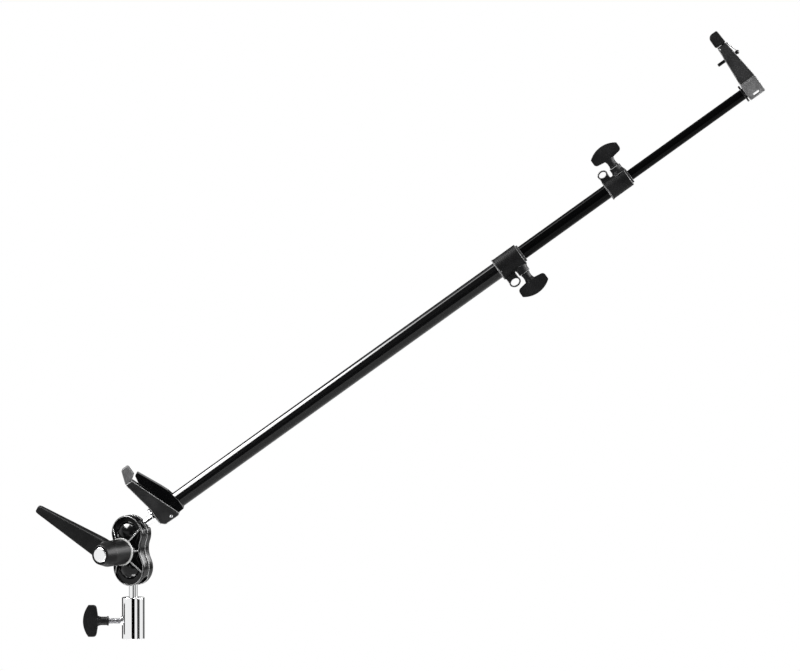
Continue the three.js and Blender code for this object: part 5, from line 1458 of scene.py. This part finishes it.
def slot_outline(station, height, length_, rise):
    radius, reach, quarter = rise / 2, (length_ - rise) / 2, math.pi / 2
    outline = arc((station + reach, height), radius, -quarter, quarter, SLOT_STEPS)
    return outline + arc((station - reach, height), radius, quarter, 3 * quarter, SLOT_STEPS)


def upper_clip_edges(sizes):
    """The clip body's foot, and its back and front edges as stations at a height."""
    foot = sizes.block_top + GAP
    end = sizes.start + sizes.block_length

    def share(height):
        return (height - foot) / (sizes.top - foot)

    def back_at(height):
        return sizes.start + sizes.back_shift * share(height)

    def front_at(height):
        return end - sizes.front_shift * share(height)

    return foot, back_at, front_at


def screw_bar(sizes, radius, start, end, edge=0.0):
    station = sizes.start + sizes.block_length - sizes.screw
    return shifted(bar("screw", radius, start, end, MEDIUM, edge), x=station)


def flap_pin_bar(sizes, radius, half, facets, edge=0.0):
    """A bar across the clip where the flap turns."""
    _, back_at, _ = upper_clip_edges(sizes)
    height = sizes.top - sizes.flap
    return across_arm(bar("pin", radius, -half, half, facets, edge), back_at(height) + sizes.flap / 2, height)


def block_outline(sizes):
    """Side view of the end block, whose face to the tube is bowed."""
    start, end = sizes.start, sizes.start + sizes.block_length
    top, depth, sag = sizes.block_top, sizes.block_depth, sizes.flange / 2
    shares = [k / BOW_STEPS for k in range(1, BOW_STEPS)]
    bow = [Vector((start - sag * 2 * t * (1 - t), top + (-depth - top) * t)) for t in shares]
    corners = rounded([(end, -depth), (end, top), (start, top), (start, -depth)], BLOCK_CORNER)
    middle = (start + end) / 2
    upper = [p for p in corners if p.y > 0]
    lower_left = [p for p in corners if p.y <= 0 and p.x < middle]
    lower_right = [p for p in corners if p.y <= 0 and p.x >= middle]
    return lower_right + upper + [p for p in bow if abs(p.y) < top - 0.0015] + lower_left


def make_end_block(sizes):
    """The end block with its slot, its flange on the tube and the screw into the clip."""
    start, end = sizes.start, sizes.start + sizes.block_length
    middle, tube = (start + end) / 2, sizes_of("tube").upper
    body = slab("block", block_outline(sizes), sizes.block_width, 0.0009)
    height = sizes.slot_wall + sizes.slot_height / 2 - sizes.block_depth
    grow = 2 * (sizes.slot_wall - GAP)
    rim_outline = slot_outline(middle, height, sizes.slot_length + grow, sizes.slot_height + grow)
    rim = slab("rim", rim_outline, sizes.block_width + 2 * GAP, 0.0002)
    slot = slot_outline(middle, height, sizes.slot_length, sizes.slot_height)
    slot = slab("slot", slot, 2 * sizes.block_width)
    seat = along_arm(bar("seat", tube / 2 + GAP, start - OVERRUN, start + SLOT_TUBE_SEAT))
    screw_start = sizes.block_top - sizes.screw_length / 2
    hole = screw_bar(sizes, sizes.screw / 2 + GAP, screw_start - GAP, sizes.block_top + OVERRUN)
    soft_settled(cut(joined(body, rim), slot, seat, hole), "end_block", "cast")

    flange_end = start - sizes.flange / 2 - GAP
    flange_start = flange_end - sizes.flange - GAP
    flange = sleeve("flange", tube / 2 + GAP, sizes.block_depth, flange_start, flange_end, FINE, 0.0009)
    settled(along_arm(flange), "end_flange", "gloss_moulding")
    screw_top = sizes.block_top + sizes.screw_length / 2
    settled(screw_bar(sizes, sizes.screw / 2, screw_start, screw_top, 0.0005), "end_block_screw", "steel")


def make_upper_clip_body(sizes):
    """The clip's body, tapered both ways, with a notch for the flap and a bore for the plunger."""
    foot, back_at, front_at = upper_clip_edges(sizes)
    top, start, end = sizes.top, sizes.start, sizes.start + sizes.block_length
    side = rounded([
        (back_at(foot), foot, 0.0008), (front_at(foot), foot, 0.0008), (front_at(top), top, 0.0016),
        (back_at(top), top, 0.0008),
    ])
    half, top_half = sizes.width / 2, sizes.top_width / 2
    front_view = rounded([
        (-half, foot, 0.0008), (half, foot, 0.0008), (top_half, top, 0.002), (-top_half, top, 0.002)
    ])
    taper = slab("taper", front_view, 4 * sizes.block_length)
    quarter_turn = Matrix.Rotation(math.pi / 2, 4, "Z")
    placed(taper, Matrix.Translation(((start + end) / 2, 0, 0)) @ quarter_turn)
    body = bevelled(common(slab("body", side, sizes.width + OVERRUN), taper), 0.0011)
    notch_half = sizes.flap_width / 2 + GAP
    notch_low = (start - OVERRUN, -notch_half, sizes.plunger_height - sizes.plunger)
    notch = block("notch", notch_low, (back_at(top) + sizes.flap + GAP, notch_half, top + OVERRUN))
    bore = along_arm(bar("bore", sizes.plunger / 2 + GAP, start - OVERRUN, end + OVERRUN, MEDIUM))
    pin_hole = flap_pin_bar(sizes, sizes.flap_pin / 2 + GAP, sizes.width, MEDIUM)
    screw_top = sizes.block_top + sizes.screw_length / 2
    screw_hole = screw_bar(sizes, sizes.screw / 2 + GAP, 0, screw_top + GAP)
    body = cut(body, notch, shifted(bore, z=sizes.plunger_height), pin_hole, screw_hole)
    soft_settled(body, "upper_clip_body", "powder")


def make_cap(sizes):
    """The cap, held over the body's top by a tenon."""
    _, back_at, front_at = upper_clip_edges(sizes)
    top, groove = sizes.top, sizes.groove
    foot = top + groove
    cap_top = foot + sizes.tip_height
    back, front = back_at(top) - sizes.tip_overhang, front_at(top) + GAP
    outline = rounded([
        (back_at(top), foot, 0.0006), (front, foot, 0.001), (front - groove, cap_top, 0.0022),
        (back, cap_top, 0.0075), (back, foot + groove, 0.0006),
    ])
    middle, quarter = sizes.start + sizes.block_length / 2, sizes.top_width / 4
    cap = slab("cap", outline, sizes.top_width, 0.0012)
    tenon_end = (front - 2 * groove, quarter, cap_top - groove)
    tenon = block("tenon", (middle - groove, -quarter, top + GAP), tenon_end)
    soft_settled(joined(cap, tenon), "upper_clip_tip", "moulding")


def make_flap(sizes):
    """The sprung flap and its pin."""
    _, back_at, _ = upper_clip_edges(sizes)
    bottom = sizes.plunger_height + sizes.plunger / 2 + 4 * GAP
    hinge_height = sizes.top - sizes.flap
    top = hinge_height + sizes.flap / 2
    outline = rounded([
        (back_at(bottom), bottom, 0.0008), (back_at(bottom) + sizes.flap, bottom, 0.0008),
        (back_at(bottom) + sizes.flap, top, 0.0012), (back_at(hinge_height), top, 0.0012),
    ])
    pin_hole = flap_pin_bar(sizes, sizes.flap_pin / 2 + GAP, sizes.width, SMALL)
    flap = cut(slab("flap", outline, sizes.flap_width, 0.0006), pin_hole)
    settled(flap, "upper_clip_flap", "gloss_moulding")

    pin = flap_pin_bar(sizes, sizes.flap_pin / 2, sizes.top_width / 2, SMALL, 0.0002)
    settled(pin, "upper_clip_pin", "steel")


def make_plunger(sizes):
    """The plunger with its ball, and the leaf spring that follows it."""
    _, back_at, front_at = upper_clip_edges(sizes)
    front = front_at(sizes.plunger_height) + sizes.tail
    start = back_at(sizes.plunger_height) - sizes.plunger_reach
    radius, rod, edge, quarter = sizes.ball / 2, sizes.plunger / 2, PLUNGER_EDGE, math.pi / 2
    meet = math.acos(rod / radius)
    profile = [(0, start)] + arc((rod - edge, start + edge), edge, -quarter, 0, 6)
    for k in range(PLUNGER_STEPS):
        angle = -meet + (quarter + meet) * k / PLUNGER_STEPS
        profile.append(Vector((radius * math.cos(angle), front + radius * math.sin(angle))))
    profile.append((0, front + radius))
    plunger = shifted(along_arm(turned("plunger", profile, MEDIUM)), z=sizes.plunger_height)
    settled(plunger, "upper_clip_plunger", "gloss_moulding")

    top, groove, sheet = sizes.top, sizes.groove, sizes.leaf
    leaf_start, leaf_end = front_at(top) + GAP, front - GAP
    foot = sizes.plunger_height + radius + GAP
    leaf_top = top + groove - groove - GAP
    low = top - groove - sizes.leaf_width / 2
    outline = rounded([
        (front_at(top - groove) + GAP, low, 0.0002), (leaf_start + sheet, low, 0.001),
        (leaf_end, foot, 0.0002), (leaf_end + sheet, foot, 0.0002),
        (leaf_start + sheet + GAP, leaf_top, 0.0006), (leaf_start, leaf_top, 0.0002),
    ])
    settled(slab("leaf", outline, sizes.leaf_width, 0.0001), "leaf_spring", "chrome")


# Stage: floor, world, lamps and camera
FLOOR_LEVEL = -0.35
FLOOR_SIZE = 2.4
FLOOR_ROUGHNESS = 0.9
# How much the floor adds to its lit tone, for the camera and in reflections only
FLOOR_GLOW = 0.61
VIEW_AIM = Vector((0.3738, 0.0, 0.4263))
VIEW_RISE = math.radians(3)
VIEW_DISTANCE = 16.0
VIEW_WIDTH = 1.12
SENSOR = 36.0
# Dark cards round the horizon: turn from the camera's side towards the right and half width, both in
# degrees, then tone
DARK_CARDS = (
    (-1.0, 16.0, 0.0), (54.0, 14.0, 0.04), (124.0, 10.0, 0.05), (155.0, 25.0, 0.3), (-156.0, 30.0, 0.02),
)
CARD_EDGE = math.radians(1.5)
# Between which parts of a direction's depth the world turns from its front tone to white, and from white
# to its back tone, and between which parts of its height the band of cards ends
FRONT_FADE = (0.1, 0.4)
BACK_FADE = (0.5, 0.62)
BAND_FADE = (0.2, 0.4)
BACK_TONE = 0.15
HEAD_AIM = (0, 0, 0.125)
# The lamp over the lower tube: station along the arm, turn from the camera's side, distance
STRIP_STATION = 0.355
STRIP_TURN = math.radians(89)
STRIP_DISTANCE = 1.0
# Its mask, as shares of its length and the values there: half width, brightness and the dark far end
STRIP_HALF_WIDTH = (0.2, 0.72, 0.5, 0.16)
STRIP_TONE = (0.42, 0.68, 1.0, 0.2)
STRIP_END = (0.88, 1.0, 1.0, 0.0)
STRIP_EDGE = 0.06


def make_floor(tone):
    mesh = bmesh.new()
    bmesh.ops.create_grid(mesh, x_segments=1, y_segments=1, size=FLOOR_SIZE)
    floor = object_from("Floor", mesh)
    placed(floor, Matrix.Translation((VIEW_AIM.x, 0, FLOOR_LEVEL)))
    material, tree, shader = new_material("Pale floor", (tone,) * 3, FLOOR_ROUGHNESS)
    shader.inputs["Emission Color"].default_value = (1.0, 1.0, 1.0, 1.0)
    path = node_in(tree, "ShaderNodeLightPath")
    seen = math_in(tree, "MAXIMUM", path.outputs["Is Camera Ray"], path.outputs["Is Glossy Ray"])
    seen = math_in(tree, "MAXIMUM", seen, path.outputs["Is Transmission Ray"])
    tree.links.new(math_in(tree, "MULTIPLY", seen, FLOOR_GLOW), shader.inputs["Emission Strength"])
    skin = group_in(tree, "grain", grain_scale=60.0, drift_scale=2.0)
    tree.links.new(drifting(tree, skin, (tone,) * 3, 0.99, 1.01), shader.inputs["Base Color"])
    floor.data.materials.append(material)


def make_world(front_tone):
    """White to the camera; a white band round the horizon with dark cards in it, for the chrome to show."""
    world = bpy.data.worlds.new("Studio")
    bpy.context.scene.world = world
    world.use_nodes = True
    tree = world.node_tree
    tree.nodes.clear()
    direction = node_in(tree, "ShaderNodeTexCoord").outputs["Generated"]
    split = node_in(tree, "ShaderNodeSeparateXYZ", {"Vector": direction})
    depth = split.outputs["Y"]
    away = ramp_in(tree, depth, *FRONT_FADE, front_tone, 1.0)
    away = math_in(tree, "MULTIPLY", away, ramp_in(tree, depth, *BACK_FADE, 1.0, BACK_TONE))
    turn = math_in(tree, "ARCTAN2", split.outputs["X"], math_in(tree, "MULTIPLY", depth, -1.0))
    stripes = None
    for middle, half_width, tone in DARK_CARDS:
        offset = math_in(tree, "ABSOLUTE", math_in(tree, "SUBTRACT", turn, math.radians(middle)))
        edge = math.radians(half_width)
        card = ramp_in(tree, offset, edge - CARD_EDGE, edge + CARD_EDGE, tone, 1.0)
        stripes = card if stripes is None else math_in(tree, "MINIMUM", stripes, card)
    height = math_in(tree, "ABSOLUTE", split.outputs["Z"])
    band = ramp_in(tree, height, *BAND_FADE, 1.0, 0.0)
    spread = math_in(tree, "SUBTRACT", stripes, away)
    tone = math_in(tree, "ADD", away, math_in(tree, "MULTIPLY", band, spread))
    path = node_in(tree, "ShaderNodeLightPath")
    strength = math_in(tree, "MAXIMUM", tone, path.outputs["Is Camera Ray"])
    inputs = {"Color": (1.0, 1.0, 1.0, 1.0), "Strength": strength}
    background = node_in(tree, "ShaderNodeBackground", inputs).outputs["Background"]
    node_in(tree, "ShaderNodeOutputWorld", {"Surface": background})


def lamp(name, place, aim, width, height, draws_only, tone):
    """A soft rectangular lamp that faces a point; its width lies along the arm's direction.

    Some lamps only draw reflections, and the others only light, so that colours keep a plain level."""
    data = bpy.data.lights.new(name, "AREA")
    data.shape = "RECTANGLE"
    data.size, data.size_y = width, height
    data.energy = tone * math.pi * width * height
    light = bpy.data.objects.new(name, data)
    bpy.context.scene.collection.objects.link(light)
    back = (Vector(place) - Vector(aim)).normalized()
    along = (ARM_WAY - back * ARM_WAY.dot(back)).normalized()
    light.matrix_world = frame_matrix(Vector(place), along, back)
    light.visible_camera = False
    light.visible_glossy = draws_only
    light.visible_diffuse = not draws_only
    return light


def tapered(light):
    """Mask a lamp so that it narrows and fades towards its far end."""
    light.data.use_nodes = True
    tree = light.data.node_tree
    tree.nodes.clear()
    place = node_in(tree, "ShaderNodeNewGeometry").outputs["Parametric"]
    split = node_in(tree, "ShaderNodeSeparateXYZ", {"Vector": place})
    along, across = split.outputs["X"], split.outputs["Y"]
    off_middle = math_in(tree, "ABSOLUTE", math_in(tree, "SUBTRACT", across, 0.5))
    inside = math_in(tree, "SUBTRACT", ramp_in(tree, along, *STRIP_HALF_WIDTH), off_middle)
    fade = math_in(tree, "MULTIPLY", ramp_in(tree, along, *STRIP_TONE), ramp_in(tree, along, *STRIP_END))
    strength = math_in(tree, "MULTIPLY", ramp_in(tree, inside, 0.0, STRIP_EDGE), fade)
    glow = node_in(tree, "ShaderNodeEmission", {"Strength": strength}).outputs["Emission"]
    node_in(tree, "ShaderNodeOutputLight", {"Surface": glow})


def make_camera():
    data = bpy.data.cameras.new("Photo view")
    data.sensor_width = SENSOR
    data.lens = SENSOR * VIEW_DISTANCE / VIEW_WIDTH
    data.clip_start, data.clip_end = 0.05, 60.0
    camera = bpy.data.objects.new("Photo view", data)
    bpy.context.scene.collection.objects.link(camera)
    away = Vector((0, -math.cos(VIEW_RISE), math.sin(VIEW_RISE)))
    camera.location = VIEW_AIM + away * VIEW_DISTANCE
    camera.rotation_euler = away.to_track_quat("Z", "Y").to_euler()
    bpy.context.scene.camera = camera


def light_place(station, turn, distance):
    """A point off the arm's axis, turned from the camera's side towards the arm's upper side."""
    near, up = distance * math.cos(turn), distance * math.sin(turn)
    return UPPER_BALL + ARM_WAY * station - ACROSS * near + ARM_WAY.cross(ACROSS) * up


OVER_TUBE = light_place(STRIP_STATION, STRIP_TURN, STRIP_DISTANCE)
ON_TUBE = light_place(STRIP_STATION, 0, 0)
# Lamps by their stage setting: place, aim, width, height and whether they only draw reflections
LAMPS = {
    "softbox": (OVER_TUBE, ON_TUBE, 1.01, 1.0, True),
    "side": ((1.9, -0.15, 1.0), HEAD_AIM, 1.3, 2.4, True),
    "top": ((0.25, -0.8, 3.5), HEAD_AIM, 1.0, 1.0, True),
    "low": ((0.03, -0.12, -0.34), HEAD_AIM, 0.2, 0.2, True),
    "fill": ((0.1, -2.6, 1.6), (0.35, 0, 0.4), 2.4, 2.4, False),
}


def set_stage(stage):
    bpy.context.scene.view_settings.view_transform = "Standard"
    make_floor(stage.floor)
    make_world(stage.front)
    lamps = {name: lamp(name.title(), *spec, getattr(stage, name)) for name, spec in LAMPS.items()}
    tapered(lamps["softbox"])
    make_camera()


class StageSettings(bpy.types.PropertyGroup):
    """Floor tone and lamps."""

    floor: FloatProperty(name="Floor", description="Tone of the floor", default=0.86, min=0, max=1)
    front: FloatProperty(name="Front", description="World tone behind the camera", default=0.14, min=0, max=1)
    softbox: brightness("Softbox", "Lamp that draws the strip along the tubes", 50.0)
    side: brightness("Side", "Tall lamp on the right that draws rims and edges", 20.0)
    top: brightness("Top", "Lamp above the head", 25.0)
    low: brightness("Low", "Small lamp under the head", 20.0)
    fill: brightness("Fill", "Even light from behind the camera, without a reflection", 2.5)


# Operators, in the order in which the arm is put together
class REFLECTORARM_OT_finishes(bpy.types.Operator):
    """Mix the arm's finishes"""

    bl_idname = "reflector_arm.finishes"
    bl_label = "Mix Finishes"

    def execute(self, context):
        make_finishes(sizes_of("colours"))
        return {"FINISHED"}


class REFLECTORARM_OT_socket(bpy.types.Operator):
    """Add the stand socket, its post and its T-handle"""

    bl_idname = "reflector_arm.socket"
    bl_label = "Add Stand Socket"

    def execute(self, context):
        make_stand_socket(sizes_of("socket"))
        make_socket_handle(sizes_of("socket"))
        return {"FINISHED"}


class REFLECTORARM_OT_balls(bpy.types.Operator):
    """Add the two balls"""

    bl_idname = "reflector_arm.balls"
    bl_label = "Add Balls"

    def execute(self, context):
        sizes = sizes_of("socket")
        make_ball(sizes, "lower_ball", Matrix.Translation(LOWER_BALL))
        make_ball(sizes, "upper_ball", ARM @ Matrix.Rotation(-math.pi / 2, 4, "Y"))
        return {"FINISHED"}


class REFLECTORARM_OT_shells(bpy.types.Operator):
    """Add the two ribbed half shells of the head"""

    bl_idname = "reflector_arm.shells"
    bl_label = "Add Head Shells"

    def execute(self, context):
        make_shells(sizes_of("head"))
        return {"FINISHED"}


class REFLECTORARM_OT_bolt(bpy.types.Operator):
    """Add the clamp bolt, its spring and the thrust washer"""

    bl_idname = "reflector_arm.bolt"
    bl_label = "Add Clamp Bolt"

    def execute(self, context):
        make_bolt(sizes_of("head"))
        return {"FINISHED"}


class REFLECTORARM_OT_lever(bpy.types.Operator):
    """Add the clamp lever with its insert and cap"""

    bl_idname = "reflector_arm.lever"
    bl_label = "Add Clamp Lever"

    def execute(self, context):
        make_lever(sizes_of("head"))
        return {"FINISHED"}


class REFLECTORARM_OT_lower_clip(bpy.types.Operator):
    """Add the lower clip on its post"""

    bl_idname = "reflector_arm.lower_clip"
    bl_label = "Add Lower Clip"

    def execute(self, context):
        for make in (make_upper_post, make_lower_clip_body, make_lower_clip_tip, make_lower_clip_jaw):
            make(sizes_of("lower_clip"))
        return {"FINISHED"}


class REFLECTORARM_OT_tubes(bpy.types.Operator):
    """Add the three telescopic tubes"""

    bl_idname = "reflector_arm.tubes"
    bl_label = "Add Tubes"

    def execute(self, context):
        make_tubes(sizes_of("tube"))
        return {"FINISHED"}


class REFLECTORARM_OT_collars(bpy.types.Operator):
    """Add the two clamp collars with their bushes, pads and T-handles"""

    bl_idname = "reflector_arm.collars"
    bl_label = "Add Collars"

    def execute(self, context):
        for name in COLLARS:
            make_collar(sizes_of("collar"), name)
        return {"FINISHED"}


class REFLECTORARM_OT_upper_clip(bpy.types.Operator):
    """Add the end block and the upper clip"""

    bl_idname = "reflector_arm.upper_clip"
    bl_label = "Add Upper Clip"

    def execute(self, context):
        for make in (make_end_block, make_upper_clip_body, make_cap, make_flap, make_plunger):
            make(sizes_of("upper_clip"))
        return {"FINISHED"}


class REFLECTORARM_OT_stage(bpy.types.Operator):
    """Set the floor, the lamps and the camera"""

    bl_idname = "reflector_arm.stage"
    bl_label = "Set Stage"

    def execute(self, context):
        set_stage(sizes_of("stage"))
        return {"FINISHED"}


OPERATORS = (
    REFLECTORARM_OT_finishes,
    REFLECTORARM_OT_socket,
    REFLECTORARM_OT_balls,
    REFLECTORARM_OT_shells,
    REFLECTORARM_OT_bolt,
    REFLECTORARM_OT_lever,
    REFLECTORARM_OT_lower_clip,
    REFLECTORARM_OT_tubes,
    REFLECTORARM_OT_collars,
    REFLECTORARM_OT_upper_clip,
    REFLECTORARM_OT_stage,
)


class REFLECTORARM_PT_sidebar(bpy.types.Panel):
    """Lists what the arm is made of"""

    bl_idname = "REFLECTORARM_PT_sidebar"
    bl_label = "Reflector Arm"
    bl_space_type = "VIEW_3D"
    bl_region_type = "UI"
    bl_category = "Reflector Arm"

    def draw(self, context):
        for operator in OPERATORS:
            self.layout.operator(operator.bl_idname)
        for group in GROUPS_OF_SIZES:
            box = self.layout.box()
            box.label(text=group.replace("_", " ").capitalize())
            sizes = sizes_of(group)
            for name in sizes.__annotations__:
                box.prop(sizes, name)


GROUPS_OF_SIZES = {
    "socket": SocketSizes,
    "handle": HandleSizes,
    "tube": TubeSizes,
    "head": HeadSizes,
    "lower_clip": LowerClipSizes,
    "collar": CollarSizes,
    "upper_clip": UpperClipSizes,
    "colours": FinishColours,
    "stage": StageSettings,
}
CLASSES = (*GROUPS_OF_SIZES.values(), *OPERATORS, REFLECTORARM_PT_sidebar)


def register():
    for each in CLASSES:
        bpy.utils.register_class(each)
    for group, kind in GROUPS_OF_SIZES.items():
        setattr(bpy.types.Scene, "reflector_arm_" + group, PointerProperty(type=kind))


def unregister():
    for group in GROUPS_OF_SIZES:
        delattr(bpy.types.Scene, "reflector_arm_" + group)
    for each in reversed(CLASSES):
        bpy.utils.unregister_class(each)


def main():
    register()
    for operator in OPERATORS:
        family, name = operator.bl_idname.split(".")
        getattr(getattr(bpy.ops, family), name)()


if __name__ == "__main__":
    main()
